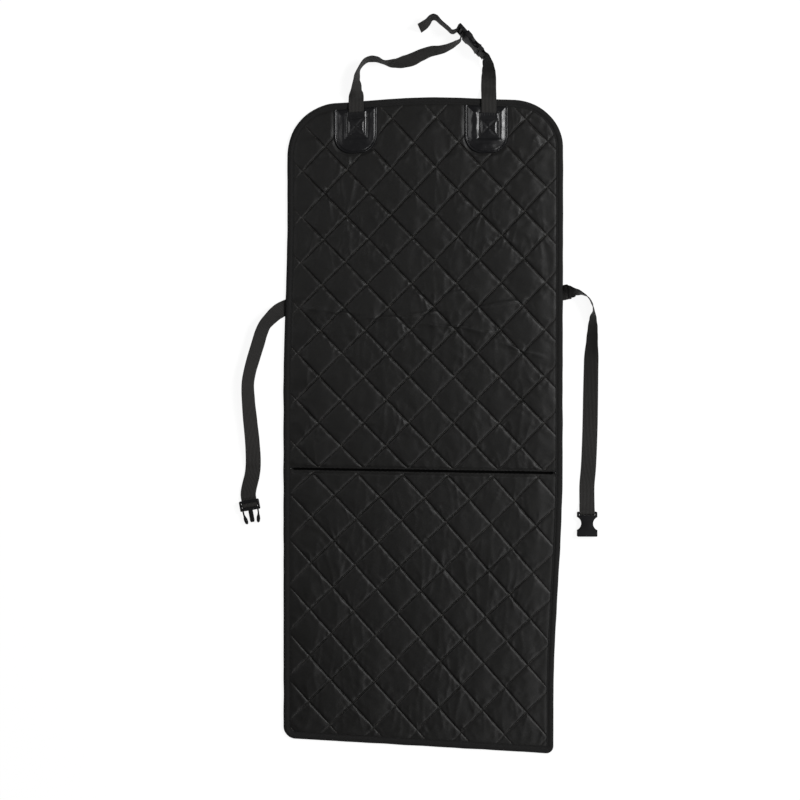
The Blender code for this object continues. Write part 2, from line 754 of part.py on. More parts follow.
def head_strap_long(plug, material):
    """Left head strap, banked onto its edge, through the plug's bar, with a free tail."""
    stations = patch_stations(LEFT_PATCH_U + 0.0008, LEFT_PATCH_FOOT_V)
    path = [(-0.1092, 0.0239), (-0.1089, 0.0387), (-0.1043, 0.0552), (-0.0940, 0.0673),
            (-0.0841, 0.0698), (-0.0742, 0.0685), (-0.0650, 0.0643), (-0.0479, 0.0625),
            (-0.0313, 0.0656), (-0.0181, 0.0694), (-0.0050, 0.0757), (0.0132, 0.0825),
            (0.0297, 0.0849), (0.0446, 0.0902), (0.0545, 0.0957), (0.0596, 0.0990)]
    banks = [51, 69, 85, 80, 76, 79, 85, 66, 49, 43, 49, 58, 67, 75, 82, 86]
    stations += path_stations(HEAD_STRAP_ROOT, path, banks, (0.0006, 0.0018, 0.0034, 0.0046))
    stations += plug_loop(plug, plug.across)
    tail = [(0.0480, 0.1135), (0.0396, 0.1204), (0.0322, 0.1270), (0.0265, 0.1325),
            (0.0225, 0.1368), (0.0172, 0.1387), (0.0120, 0.1363), (0.0082, 0.1310),
            (0.0022, 0.1255), (-0.0061, 0.1201)]
    banks = [96, 95, 95, 97, 100, 103, 105, 110, 116, 118]
    stations += path_stations(HEAD_STRAP_ROOT, tail, banks, (0.0042, 0.0026, 0.0010, 0.0))
    return webbing("head_strap_long", stations, material)


def socket_loop(frame, across, twist=0.0):
    """Webbing that comes to the socket, turns round its bar and ends sewn to itself."""
    bar = BAR_HALF_THICK + 0.5 * WEB_THICKNESS + 0.0006
    drop = frame.origin.z - FLOOR_CLEARANCE - 0.5 * WEB_THICKNESS if not twist else 0.0
    half = 0.5 * LAYER_PITCH
    if drop:
        path = [(-0.0320, -drop), (-0.0240, -drop + 0.0006), (-0.0150, -drop + LAYER_PITCH),
                (-0.0080, -drop + LAYER_PITCH + 0.0012), (-0.0030, 0.0009), (0.0006, bar + 0.0001),
                (0.0034, bar - 0.0001), (0.0052, 0.0008), (0.0052, -0.0008), (0.0034, -bar + 0.0001),
                (0.0006, -bar - 0.0002), (-0.0035, -0.0032), (-0.0080, -drop + 0.0004),
                (-0.0128, -drop)]
    else:
        path = [(-0.0105, half + 0.0004),
                (-0.0038, half + 0.0008), (0.0004, bar), (0.0034, bar - 0.0001),
                (0.0052, 0.0008), (0.0052, -0.0008), (0.0034, -bar + 0.0001), (0.0004, -bar),
                (-0.0038, -half - 0.0008), (-0.0070, -half - 0.0005)]
    stations = []
    for x, z in path:
        turn = -math.radians(twist) * ease(-x / 0.014)
        side = across * math.cos(turn) + frame.face * math.sin(turn)
        normal = frame.along.cross(side).normalized()
        point = frame.at(x, 0.0, 0.0) + normal * z * (1 if normal.dot(frame.face) > 0 else -1)
        stations.append(placed(point, side))
    return stations


def head_strap_short(socket, material):
    """Right head strap, banked over to the socket and sewn round its bar."""
    stations = patch_stations(RIGHT_PATCH_U + 0.0040, RIGHT_PATCH_FOOT_V)
    path = [(0.1081, 0.0255), (0.1082, 0.0371), (0.1082, 0.0480), (0.1072, 0.0590)]
    banks = [-4, -14, -30, -48]
    stations += path_stations(HEAD_STRAP_ROOT, path, banks, (0.0, 0.0, 0.0007, 0.0026))
    stations += socket_loop(socket, -socket.across, twist=16.0)
    return webbing("head_strap_short", stations, material)


def left_side_strap(plug, material):
    """Left side strap from under the binding, down to the plug and back under itself."""
    root = LEFT_STRAP_ROOT
    stations = []
    for x, y in ((0.0093, 0.0038), (0.0048, 0.0020), (0.0003, 0.0)):
        stations.append(banked(root.x + x, root.y + y, LEFT_STRAP_HEADING, 0.0))
    path = [(-0.0049, -0.0029), (-0.0125, -0.0084), (-0.0244, -0.0204), (-0.0301, -0.0273),
            (-0.0363, -0.0410), (-0.0413, -0.0577), (-0.0486, -0.0815), (-0.0548, -0.1042),
            (-0.0581, -0.1242), (-0.0573, -0.1519), (-0.0543, -0.1862), (-0.0510, -0.2197),
            (-0.0496, -0.2507), (-0.0503, -0.2652)]
    banks = [-8, -24, -36, -40, -37, -35, -36, -40, -40, -35, -27, -22, -12, -3]
    stations += path_stations(root, path, banks)
    doubled = []
    for x, y, slant in ((-0.0519, -0.2767, 12), (-0.0545, -0.2872, 13), (-0.0569, -0.2972, 9),
                        (-0.0581, -0.3072, 2)):
        doubled.append(banked(root.x + x, root.y + y, slant - 90.0, 0.0))
    for point, across in doubled:
        stations.append((point + Vector((0.0, 0.0, LAYER_PITCH + 0.0002)), across))
    over = [(0.0014, -0.0040), (0.0034, -0.0032), (0.0043, -0.0014),
            (0.0045, 0.0006), (0.0056, 0.0023), (0.0082, 0.0028), (0.0108, 0.0023),
            (0.0119, 0.0008), (0.0121, -0.0012), (0.0116, -0.0030), (0.0096, -0.0046),
            (0.0054, -0.0060), (0.0005, -0.0064)]
    stations += [placed(plug.at(x, 0.0, z), plug.across) for x, z in over]
    stations += reversed(doubled)
    return webbing("left_side_strap", stations, material)


def right_side_strap(socket, material):
    """Right side strap from under the binding, down to the socket and sewn round its bar."""
    root = RIGHT_STRAP_ROOT
    stations = [banked(root.x + x, root.y, 0.0, 0.0) for x in (-0.0103, -0.0033, 0.0015)]
    path = [(0.0072, 0.0013), (0.0123, 0.0013), (0.0231, 0.0003), (0.0335, -0.0030),
            (0.0420, -0.0089), (0.0474, -0.0185), (0.0499, -0.0284), (0.0490, -0.0424),
            (0.0486, -0.0581), (0.0477, -0.0779), (0.0466, -0.1158), (0.0456, -0.1835),
            (0.0450, -0.2264), (0.0426, -0.2858), (0.0402, -0.3165)]
    banks = [16, 43, 71, 88, 99, 101, 92, 69, 56, 47, 23, 14, 4, 6, 0]
    stations += path_stations(root, path, banks)
    stations += socket_loop(socket, socket.across)
    return webbing("right_side_strap", stations, material)


def make_material(name, colour, roughness, metallic=0.0):
    material = bpy.data.materials.new(name)
    material.use_nodes = True
    shader = material.node_tree.nodes["Principled BSDF"]
    shader.inputs["Base Color"].default_value = (*colour, 1.0)
    shader.inputs["Roughness"].default_value = roughness
    shader.inputs["Metallic"].default_value = metallic
    material.diffuse_color = (*colour, 1.0)
    return material


def quilted_fabric():
    return make_material("quilted_fabric", (0.0160, 0.0152, 0.0137), 0.80)


def binding_tape():
    return make_material("binding_tape", (0.0091, 0.0091, 0.0091), 0.70)


def seam_cloth():
    return make_material("seam_cloth", (0.0110, 0.0110, 0.0105), 0.85)


def leatherette():
    return make_material("leatherette", (0.0070, 0.0070, 0.0080), 0.35)


def stitch_thread():
    return make_material("stitch_thread", (0.0210, 0.0210, 0.0200), 0.60)


def strap_webbing():
    return make_material("strap_webbing", (0.0319, 0.0296, 0.0273), 0.65)


def clip_plastic():
    return make_material("clip_plastic", (0.0080, 0.0080, 0.0085), 0.22)


def build():
    clear_scene()
    fabric = quilted_fabric()
    leather = leatherette()
    thread = stitch_thread()
    web = strap_webbing()
    plastic = clip_plastic()
    quilted_panel("upper_quilted_panel", True, fabric)
    quilted_panel("lower_quilted_panel", False, fabric)
    edge_binding(binding_tape())
    seam_tape(seam_cloth())
    left_strap_u = LEFT_PATCH_U + 0.0008
    right_strap_u = RIGHT_PATCH_U + 0.0040
    strap_patch("left_strap_patch", LEFT_PATCH_U, LEFT_PATCH_FOOT_V, left_strap_u, leather)
    strap_patch("right_strap_patch", RIGHT_PATCH_U, RIGHT_PATCH_FOOT_V, right_strap_u, leather)
    box_stitch("left_box_stitch", left_strap_u, LEFT_PATCH_FOOT_V, thread)
    box_stitch("right_box_stitch", right_strap_u, RIGHT_PATCH_FOOT_V, thread)
    head_plug = Frame(HEAD_CLIP_START, HEAD_CLIP_ANGLE, HEAD_CLIP_ROLL)
    head_socket = head_plug.turned(PLUG_FRAME_LENGTH + GAP + SOCKET_LENGTH)
    left_plug = Frame(LEFT_CLIP_START, LEFT_CLIP_ANGLE, pitch=LEFT_CLIP_PITCH)
    right_socket = Frame(RIGHT_CLIP_START, math.radians(-90.0))
    clip_plug("head_clip_plug", head_plug, plastic)
    clip_socket("head_clip_socket", head_socket, plastic)
    clip_plug("left_side_clip_plug", left_plug, plastic)
    clip_socket("right_side_clip_socket", right_socket, plastic)
    head_strap_long(head_plug, web)
    head_strap_short(head_socket, web)
    left_side_strap(left_plug, web)
    right_side_strap(right_socket, web)


build()
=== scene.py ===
"""Looks of the quilted dog seat cover: quilted pads, binding, patches, straps and clips.

The laid-out shapes repeat the part's own functions and points, in metres, +Z up.
"""

import json
import math

import bmesh
import bpy
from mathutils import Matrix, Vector, noise

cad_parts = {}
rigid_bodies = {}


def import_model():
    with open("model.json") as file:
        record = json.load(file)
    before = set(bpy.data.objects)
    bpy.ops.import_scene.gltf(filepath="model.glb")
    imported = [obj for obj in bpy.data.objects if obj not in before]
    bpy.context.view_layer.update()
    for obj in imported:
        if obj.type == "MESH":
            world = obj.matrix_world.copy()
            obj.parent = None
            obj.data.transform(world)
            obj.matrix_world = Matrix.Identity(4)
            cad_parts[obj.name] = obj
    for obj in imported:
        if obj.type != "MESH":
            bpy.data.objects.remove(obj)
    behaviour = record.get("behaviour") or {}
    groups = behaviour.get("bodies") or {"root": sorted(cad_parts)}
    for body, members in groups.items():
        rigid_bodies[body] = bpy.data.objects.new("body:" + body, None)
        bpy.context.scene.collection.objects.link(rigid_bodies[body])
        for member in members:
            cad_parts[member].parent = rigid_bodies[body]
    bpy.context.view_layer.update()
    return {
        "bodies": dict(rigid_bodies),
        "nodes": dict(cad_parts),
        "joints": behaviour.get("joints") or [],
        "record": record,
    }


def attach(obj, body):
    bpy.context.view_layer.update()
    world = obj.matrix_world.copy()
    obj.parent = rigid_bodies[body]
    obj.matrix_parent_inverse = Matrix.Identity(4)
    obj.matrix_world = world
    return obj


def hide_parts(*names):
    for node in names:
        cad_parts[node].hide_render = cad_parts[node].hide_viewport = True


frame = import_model()

GAP = 0.0003

# Pad pattern
HALF_WIDTH = 0.2303
HALF_HEIGHT = 0.5305
TOP_RADIUS = 0.082
FOOT_RADIUS_LEFT = 0.020
FOOT_RADIUS_RIGHT = 0.013
SEAM_V = -0.0772
SEAM_GAP = 0.0016
GROOVE_TOP = 0.0032
EDGE_TOP = 0.0046
EDGE_FADE = 0.024

# Quilting, one diamond is QUILT_WIDE by QUILT_TALL
QUILT_WIDE = 0.0743
QUILT_TALL = 0.0765
UPPER_ANCHOR = (0.0145, 0.1165)
UPPER_QUILT_LEAN = 0.010
LOWER_ANCHOR = (0.0385, -0.2368)
LOWER_QUILT_LEAN = 0.013

# How the cover lies
TOP_NARROWING = 0.0029
TOP_LEAN = 0.0036
FOOT_NARROWING = 0.0077
FOOT_LEAN = 0.0075
UPPER_SKEW = 0.030
TOP_SKEW_LOSS = 0.012
LOWER_SKEW = 0.042
FOOT_SKEW = 0.014
CROWN_RISE = 0.008
CROWN_HALF = 0.200

# Edge binding
BINDING_WIDTH = 0.0115
BINDING_BOTTOM = 0.0017
BINDING_TOP = 0.0056
BINDING_CLOTH = 0.0010

# Seam tape under the joint of the two panels
TAPE_HALF_WIDTH = 0.012

# Leatherette patches that hold the head straps
PATCH_HALF_WIDTH = 0.036
PATCH_TOP_V = HALF_HEIGHT - BINDING_WIDTH - 0.0005
PATCH_RADIUS = 0.028
PATCH_SEAT = 0.0046
PATCH_BOTTOM = PATCH_SEAT + GAP
PATCH_TOP = PATCH_BOTTOM + 0.0011
PATCH_RIM_TOP = PATCH_TOP + 0.0003
LEFT_PATCH_U = -0.1161
LEFT_PATCH_FOOT_V = PATCH_TOP_V - 0.0700
LEFT_STRAP_U = LEFT_PATCH_U + 0.0008
RIGHT_PATCH_U = 0.1020
RIGHT_PATCH_FOOT_V = PATCH_TOP_V - 0.0760
RIGHT_STRAP_U = RIGHT_PATCH_U + 0.0040
HOOD_ABOVE_FOOT = 0.0410
HOOD_HALF = 0.0155
HOOD_TOP = 0.0078
SLIT_LENGTH = 0.0120
STITCH_HALF = 0.0135

# Webbing
WEB_WIDTH = 0.025
WEB_THICKNESS = 0.0013
FLOOR_CLEARANCE = 0.0001
LAYER_PITCH = WEB_THICKNESS + 0.0005
LEFT_STRAP_ROOT = Vector((-HALF_WIDTH, 0.1907))
LEFT_STRAP_HEADING = -158.0
RIGHT_STRAP_ROOT = Vector((HALF_WIDTH, 0.2165))
HEAD_STRAP_ROOT = Vector((0.0, HALF_HEIGHT))

# Side-release clips
CLIP_HALF_WIDTH = 0.0166
SOCKET_LENGTH = 0.041
SOCKET_HALF_THICK = 0.00475
SOCKET_WAIST = 0.0095
SOCKET_NOTCH_START = 0.0088
SOCKET_NOTCH_END = 0.0302
CAVITY_HALF_WIDTH = 0.0138
CAVITY_HALF_THICK = 0.0026
CAVITY_START = 0.0155
PLUG_FRAME_LENGTH = 0.017
PLUG_HALF_THICK = 0.0026
SLOT_HALF_WIDTH = 0.0133
PLUG_WALL = 0.0020
PLUG_SLOT = 0.0044
PLUG_BAR = 0.0036
BAR_HALF_THICK = 0.0015
CLIP_SLOT = 0.0024

# Where the clips lie
HEAD_CLIP_START = Vector((0.0568, HALF_HEIGHT + 0.1219, 0.0173))
HEAD_CLIP_ANGLE = math.radians(-48.2)
HEAD_CLIP_ROLL = math.radians(81.0)
LEFT_CLIP_START = Vector((LEFT_STRAP_ROOT.x - 0.0569, LEFT_STRAP_ROOT.y - 0.3159, 0.0072))
LEFT_CLIP_ANGLE = math.radians(-80.0)
LEFT_CLIP_PITCH = math.radians(-4.6)
RIGHT_CLIP_START = Vector((RIGHT_STRAP_ROOT.x + 0.0400, RIGHT_STRAP_ROOT.y - 0.3609, 0.0049))

# Pads and threads as dressed here
FINE = 14  # grid steps along one side of a quilted cell
PAD_EDGE = 0.0030  # a pad ends this far in from the outline, under the binding
PAD_UNDER = 0.0030  # height of a pad's underside
GROWTH = 0.045  # share by which the cloth grows before it fills
DOME = 0.0009  # rise of the simulated cells where they are highest
PLATEAU = 0.0023
ROLL = 0.0012  # reach of a cell's roll down to its stitch line
CROWDING = 0.62  # how closely the grid crowds at the stitch lines
CELL_PITCH = QUILT_WIDE * QUILT_TALL / math.hypot(QUILT_WIDE, QUILT_TALL)
STITCH_LENGTH = 0.0031
STITCH_PITCH = 0.0040
STITCH_HALF_WIDTH = 0.00029
BINDING_THREAD_HALF = 0.00024
BOX_THREAD_HALF = 0.00030
LEFT_SWELL = 0.0013  # rise of each patch's leather round the sewn square
RIGHT_SWELL = 0.0030
COVER_TOP = 0.0235  # from the hood's middle to the slit's near end
SEAM_OPEN = 0.0036  # width of the dark groove between the pads
SIMULATED_FRAMES = 16
CLOTH = {
    "quality": 5,
    "mass": 0.10,
    "tension_stiffness": 12.0,
    "compression_stiffness": 12.0,
    "shear_stiffness": 5.0,
    "bending_stiffness": 0.01,
    "tension_damping": 8.0,
    "compression_damping": 8.0,
    "shear_damping": 8.0,
    "air_damping": 2.0,
    "vertex_group_mass": "pinned",
    "shrink_min": -GROWTH,
    "use_pressure": True,
    "uniform_pressure_force": 3.0,
}
SEAM_END = 0.0040  # length of the backing that closes the groove at each end

# Long creases: u, v, slope, half length, sharpness, rise
CREASES = [
    (-0.030, 0.178, 0.10, 0.060, 0.0024, 0.0028),
    (0.060, 0.158, -0.12, 0.055, 0.0022, 0.0030),
    (0.120, 0.196, 0.16, 0.045, 0.0022, 0.0026),
    (-0.150, 0.186, -0.08, 0.040, 0.0024, 0.0020),
    (0.165, 0.120, -0.30, 0.035, 0.0022, 0.0022),
    (0.030, 0.216, 0.05, 0.050, 0.0024, 0.0020),
    (-0.020, -0.506, -0.10, 0.014, 0.0030, 0.0012),
]

# Studio: lamps as name, place, target, side, watts
LAMPS = [
    ("key", (2.3, 1.0, 2.4), (0.0, 0.1, 0.0), 0.9, 84.0),
    ("side", (1.6, -1.7, 2.5), (0.0, 0.2, 0.0), 0.9, 29.0),
    ("top", (-1.9, 1.0, 2.8), (0.0, 0.0, 0.0), 1.0, 16.0),
]
WORLD_LIGHT = 0.10
FLOOR_SHADE = 0.14
FLOOR_GLOW = 0.91
FLOOR_HALF = 9.0
FLOOR_LEVEL = -0.0004
CAMERA_PLACE = (-0.0380, 0.0396, 3.0)
CAMERA_LENS = 81.8
CAMERA_SENSOR = 36.0


def ease(t):
    """Smooth step from 0 to 1."""
    t = min(1.0, max(0.0, t))
    return t * t * (3.0 - 2.0 * t)


def lay(u, v, z):
    """Place a point of the flat pattern where it rests on the ground."""
    narrowing = TOP_NARROWING * ease((v - 0.05) / 0.30)
    narrowing += FOOT_NARROWING * ease((-0.06 - v) / 0.39)
    lean = TOP_LEAN * ease((v - 0.05) / 0.30)
    lean -= FOOT_LEAN * ease((-0.06 - v) / 0.39)
    skew = UPPER_SKEW * ease((v - 0.07) / 0.33)
    skew -= TOP_SKEW_LOSS * ease((v - 0.43) / 0.09)
    skew -= LOWER_SKEW * ease(-v / 0.18)
    skew -= FOOT_SKEW * ease((-0.40 - v) / 0.13)
    crown = CROWN_RISE * ease((v - 0.40) / 0.13)
    crown *= 0.5 + 0.5 * math.cos(math.pi * min(1.0, abs(u) / CROWN_HALF))
    x = u * (1.0 - narrowing / HALF_WIDTH) + lean
    return Vector((x, v + skew * u + crown, z))


def smooth(obj, degrees=None):
    for polygon in obj.data.polygons:
        polygon.use_smooth = True
    if degrees:
        obj.data.set_sharp_from_angle(angle=math.radians(degrees))


def make_object(name, verts, faces, material=None):
    mesh = bpy.data.meshes.new(name)
    mesh.from_pydata([tuple(p) for p in verts], [], faces)
    bm = bmesh.new()
    bm.from_mesh(mesh)
    bmesh.ops.recalc_face_normals(bm, faces=bm.faces)
    bm.to_mesh(mesh)
    bm.free()
    obj = bpy.data.objects.new(name, mesh)
    bpy.context.scene.collection.objects.link(obj)
    if material:
        mesh.materials.append(material)
    return obj


def finish_piece(obj, nodes=()):
    """Ride the only body and stand for its CAD nodes, which are hidden."""
    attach(obj, "root")
    if nodes:
        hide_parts(*nodes)
    return obj


def apply_modifier(obj, modifier):
    bpy.context.view_layer.objects.active = obj
    bpy.ops.object.modifier_apply(modifier=modifier.name)


def bevelled(obj, width=0.00035, segments=2, degrees=30.0):
    modifier = obj.modifiers.new("soft_edges", "BEVEL")
    modifier.width = width
    modifier.segments = segments
    modifier.limit_method = "ANGLE"
    modifier.angle_limit = math.radians(degrees)
    apply_modifier(obj, modifier)
    smooth(obj, 40.0)
    return obj


def wobble(u, v, size, seed=0.0):
    """Smooth noise from -1 to 1 with features about size across."""
    return noise.noise(Vector((u / size, v / size, seed)))


def inside_patch(u, v, centre_u, foot_v):
    """How far inside one leatherette patch a pattern point is, negative outside."""
    across = PATCH_HALF_WIDTH - abs(u - centre_u)
    if across < PATCH_RADIUS and v - foot_v < PATCH_RADIUS:
        return PATCH_RADIUS - math.hypot(PATCH_RADIUS - across, PATCH_RADIUS - (v - foot_v))
    return min(across, v - foot_v)


def patch_depth(u, v):
    """How far inside either leatherette patch a pattern point is, negative outside."""
    left = inside_patch(u, v, LEFT_PATCH_U, LEFT_PATCH_FOOT_V)
    return max(left, inside_patch(u, v, RIGHT_PATCH_U, RIGHT_PATCH_FOOT_V))


def pad_base(u, v):
    """Height of the pad's face along its stitch lines."""
    inside = max(0.0, edge_distance(u, v) - BINDING_WIDTH)
    base = EDGE_TOP - 0.0005
    base += (GROOVE_TOP + 0.0003 - base) * ease(inside / EDGE_FADE)
    seam = abs(v - SEAM_V) - 0.5 * SEAM_OPEN
    base = PAD_UNDER + 0.0002 + (base - PAD_UNDER - 0.0002) * ease((seam + 0.0050) / 0.0080)
    pressed = ease((patch_depth(u, v) + 0.0100) / 0.0090)
    return base + (PATCH_SEAT - 0.0004 - base) * pressed * ease(inside / 0.004 + 0.4)


class Quilt:
    """Slanted grid of quilting lines on one panel, where stitch coordinates are whole."""

    def __init__(self, upper):
        self.u, self.v = UPPER_ANCHOR if upper else LOWER_ANCHOR
        self.lean = UPPER_QUILT_LEAN if upper else LOWER_QUILT_LEAN

    def place(self, s, t):
        """Pattern point of stitch coordinates."""
        v = self.v + 0.5 * (s - t) * QUILT_TALL
        return self.u + 0.5 * (s + t) * QUILT_WIDE + self.lean * (v - self.v), v

    def coordinates(self, u, v):
        """Stitch coordinates of a pattern point."""
        j = (v - self.v) / QUILT_TALL
        i = (u - self.u - self.lean * (v - self.v)) / QUILT_WIDE
        return i + j, i - j

    def spans(self, v_low, v_high):
        """Least and greatest whole s and t that reach all of one panel."""
        wide = HALF_WIDTH + abs(self.lean) * (v_high - v_low)
        values = []
        for u in (-wide, wide):
            for v in (v_low, v_high):
                i = (u - self.u) / QUILT_WIDE
                j = (v - self.v) / QUILT_TALL
                values.append((i + j, i - j))
        return [(math.floor(min(axis)) - 1, math.ceil(max(axis)) + 1) for axis in zip(*values)]


def crowded(value):
    """Crowd the grid towards the whole numbers, where the stitch lines are."""
    return value - CROWDING * math.sin(math.tau * value) / math.tau


def pad_grid(name, quilt, upper):
    """Fine sheet whose edge loops run along the stitch lines, cut off at the seam."""
    v_low = SEAM_V if upper else -HALF_HEIGHT
    v_high = HALF_HEIGHT if upper else SEAM_V
    (s_low, s_high), (t_low, t_high) = quilt.spans(v_low, v_high)
    bm = bmesh.new()
    grid = {}

    def place(a, b):
        return quilt.place(crowded(a / FINE), crowded(b / FINE))

    def corner(a, b):
        if (a, b) not in grid:
            grid[a, b] = bm.verts.new((*place(a, b), 0.0))
        return grid[a, b]

    for a in range(s_low * FINE, s_high * FINE):
        for b in range(t_low * FINE, t_high * FINE):
            inside = True
            for da, db in ((0, 0), (1, 0), (1, 1), (0, 1)):
                u, v = place(a + da, b + db)
                beyond = v < v_low - 0.008 if upper else v > v_high + 0.008
                if edge_distance(u, v) < PAD_EDGE or beyond:
                    inside = False
                    break
            if inside:
                around = ((a, b), (a + 1, b), (a + 1, b + 1), (a, b + 1))
                bm.faces.new([corner(*step) for step in around])
    limit = SEAM_V + (0.5 if upper else -0.5) * SEAM_GAP
    bmesh.ops.bisect_plane(
        bm, geom=bm.verts[:] + bm.edges[:] + bm.faces[:], dist=0.0005,
        plane_co=(0, limit, 0), plane_no=(0, 1, 0), clear_outer=not upper, clear_inner=upper,
    )
    bmesh.ops.recalc_face_normals(bm, faces=bm.faces)
    if bm.faces[:][0].normal.z < 0:
        bmesh.ops.reverse_faces(bm, faces=bm.faces)
    crease = bm.edges.layers.float.new("crease_edge")
    for edge in bm.edges:
        ends = [quilt.coordinates(*vertex.co.xy) for vertex in edge.verts]
        for axis in (0, 1):
            if all(line_distance(end[axis]) < 0.002 for end in ends):
                edge[crease] = 1.0
    mesh = bpy.data.meshes.new(name)
    bm.to_mesh(mesh)
    bm.free()
    obj = bpy.data.objects.new(name, mesh)
    bpy.context.scene.collection.objects.link(obj)
    return obj


def line_distance(value):
    return abs(value - round(value))


def inflate(obj, pinned, frames=SIMULATED_FRAMES):
    """Cloth simulation: the sheet grows a little and fills under pressure between the pins."""
    group = obj.vertex_groups.new(name="pinned")
    group.add(pinned, 1.0, "REPLACE")
    modifier = obj.modifiers.new("cloth", "CLOTH")
    cloth = modifier.settings
    for setting, value in CLOTH.items():
        setattr(cloth, setting, value)
    cloth.effector_weights.gravity = 0.0
    modifier.collision_settings.use_collision = False
    modifier.point_cache.frame_start = 1
    modifier.point_cache.frame_end = frames
    scene = bpy.context.scene
    for number in range(1, frames + 1):
        scene.frame_set(number)
    apply_modifier(obj, modifier)
    scene.frame_set(1)
    obj.vertex_groups.clear()


def pad_detail(u, v, s, t):
    """Rolled edges of the quilted cells, puckers along their stitches and long creases."""
    inside = max(0.0, edge_distance(u, v) - BINDING_WIDTH)
    free = (1.0 - math.exp(-inside / 0.0016)) * (0.35 + 0.65 * ease(inside / 0.035))
    free *= ease(-patch_depth(u, v) / 0.006)
    free *= ease((abs(v - SEAM_V) - 0.5 * SEAM_OPEN) / 0.007)
    near_s = line_distance(s) * CELL_PITCH
    near_t = line_distance(t) * CELL_PITCH
    roll = (1.0 - math.exp(-near_s / ROLL)) * (1.0 - math.exp(-near_t / ROLL))
    height = PLATEAU * roll * (1.0 + 0.25 * wobble(u, v, 0.080, 6.0))
    for near, along, seed in ((near_s, t, 1.0), (near_t, s, 2.0)):
        place = along * CELL_PITCH / 0.0105 + 1.3 * wobble(u, v, 0.030, 10.0 + seed)
        amount = 0.00050 * max(0.0, wobble(u, v, 0.045, seed) + 0.25)
        amount *= ease(near / 0.002) * math.exp(-near / 0.008)
        height += amount * math.sin(math.tau * place)
    long_crease = math.exp(-(abs(wobble(u, v * 0.22, 0.016, 21.0)) / 0.05) ** 2)
    height += 0.0008 * roll * long_crease * ease(0.6 + wobble(u, v, 0.09, 22.0) * 1.6)
    for u0, v0, slope, length, sharp, rise in CREASES:
        du = u - u0
        offset = v - v0 - slope * du - 0.004 * wobble(u, v0, 0.040, 30.0)
        reach = math.exp(-((du / length) ** 4))
        height += rise * reach * math.exp(-abs(offset) / sharp)
    return free * height


def quilted_pad(name, upper, node, material):
    """One pad: a fine sheet, filled by simulation, creased, closed and laid on the ground."""
    quilt = Quilt(upper)
    pad = pad_grid(name, quilt, upper)
    pinned = []
    base = []
    for vertex in pad.data.vertices:
        u, v = vertex.co.x, vertex.co.y
        s, t = quilt.coordinates(u, v)
        low = pad_base(u, v)
        near = min(line_distance(s), line_distance(t))
        held = near < 0.004 or edge_distance(u, v) < BINDING_WIDTH - 0.0005
        held = held or abs(v - SEAM_V) < 0.0030 or patch_depth(u, v) > -0.0012
        base.append(low)
        puff = math.sin(math.pi * (s % 1.0)) * math.sin(math.pi * (t % 1.0))
        vertex.co.z = low
        if held:
            pinned.append(vertex.index)
        else:
            ripple = 0.0009 * wobble(u, v, 0.012, 3.0) + 0.0006 * wobble(u, v, 0.006, 5.0)
            vertex.co.z = low + max(0.0, puff) * (0.0014 + ripple)
    flat = [(vertex.co.x, vertex.co.y) for vertex in pad.data.vertices]
    inflate(pad, pinned)
    rises = sorted(vertex.co.z - low for vertex, low in zip(pad.data.vertices, base))
    gain = DOME / max(0.0005, rises[int(0.93 * len(rises))])
    for vertex, low, (u, v) in zip(pad.data.vertices, base, flat):
        rise = vertex.co.z - low
        vertex.co.z = low + max(-0.0004, min(1.5 * DOME, rise * gain))
    modifier = pad.modifiers.new("finer", "SUBSURF")
    modifier.levels = 1
    modifier.render_levels = 1
    apply_modifier(pad, modifier)
    for vertex in pad.data.vertices:
        u, v = vertex.co.x, vertex.co.y
        s, t = quilt.coordinates(u, v)
        vertex.co.z += pad_detail(u, v, s, t)
    close_under(pad)
    for vertex in pad.data.vertices:
        u, v, z = vertex.co
        vertex.co = lay(u, v + seam_parting(u, v, upper), z)
    smooth(pad)
    pad.data.materials.append(material)
    finish_piece(pad, [node])
    return pad


def seam_parting(u, v, upper):
    """How far a panel's edge is drawn back along the seam; the ends stay closed."""
    side = 1 if upper else -1
    middle = ease((HALF_WIDTH - BINDING_WIDTH - 0.0010 - abs(u)) / 0.006)
    middle *= 1.0 + 0.18 * wobble(u, 0.0, 0.040, 31.0)
    near = 1.0 - ease(abs(v - SEAM_V) / 0.012)
    return side * near * (0.5 * SEAM_OPEN * middle - 0.45 * SEAM_GAP)


def close_under(pad):
    """Close the padded sheet with a flat underside that follows its outline."""
    bm = bmesh.new()
    bm.from_mesh(pad.data)
    rim = [edge for edge in bm.edges if edge.is_boundary]
    made = bmesh.ops.extrude_edge_only(bm, edges=rim)["geom"]
    for item in made:
        if isinstance(item, bmesh.types.BMVert):
            item.co.z = PAD_UNDER
    lower = [item for item in made if isinstance(item, bmesh.types.BMEdge) and item.is_boundary]
    lower = [edge for edge in lower if all(v.co.z == PAD_UNDER for v in edge.verts)]
    bmesh.ops.triangle_fill(bm, edges=lower, use_beauty=False, normal=(0, 0, -1))
    bmesh.ops.recalc_face_normals(bm, faces=bm.faces)
    bm.to_mesh(pad.data)
    bm.free()


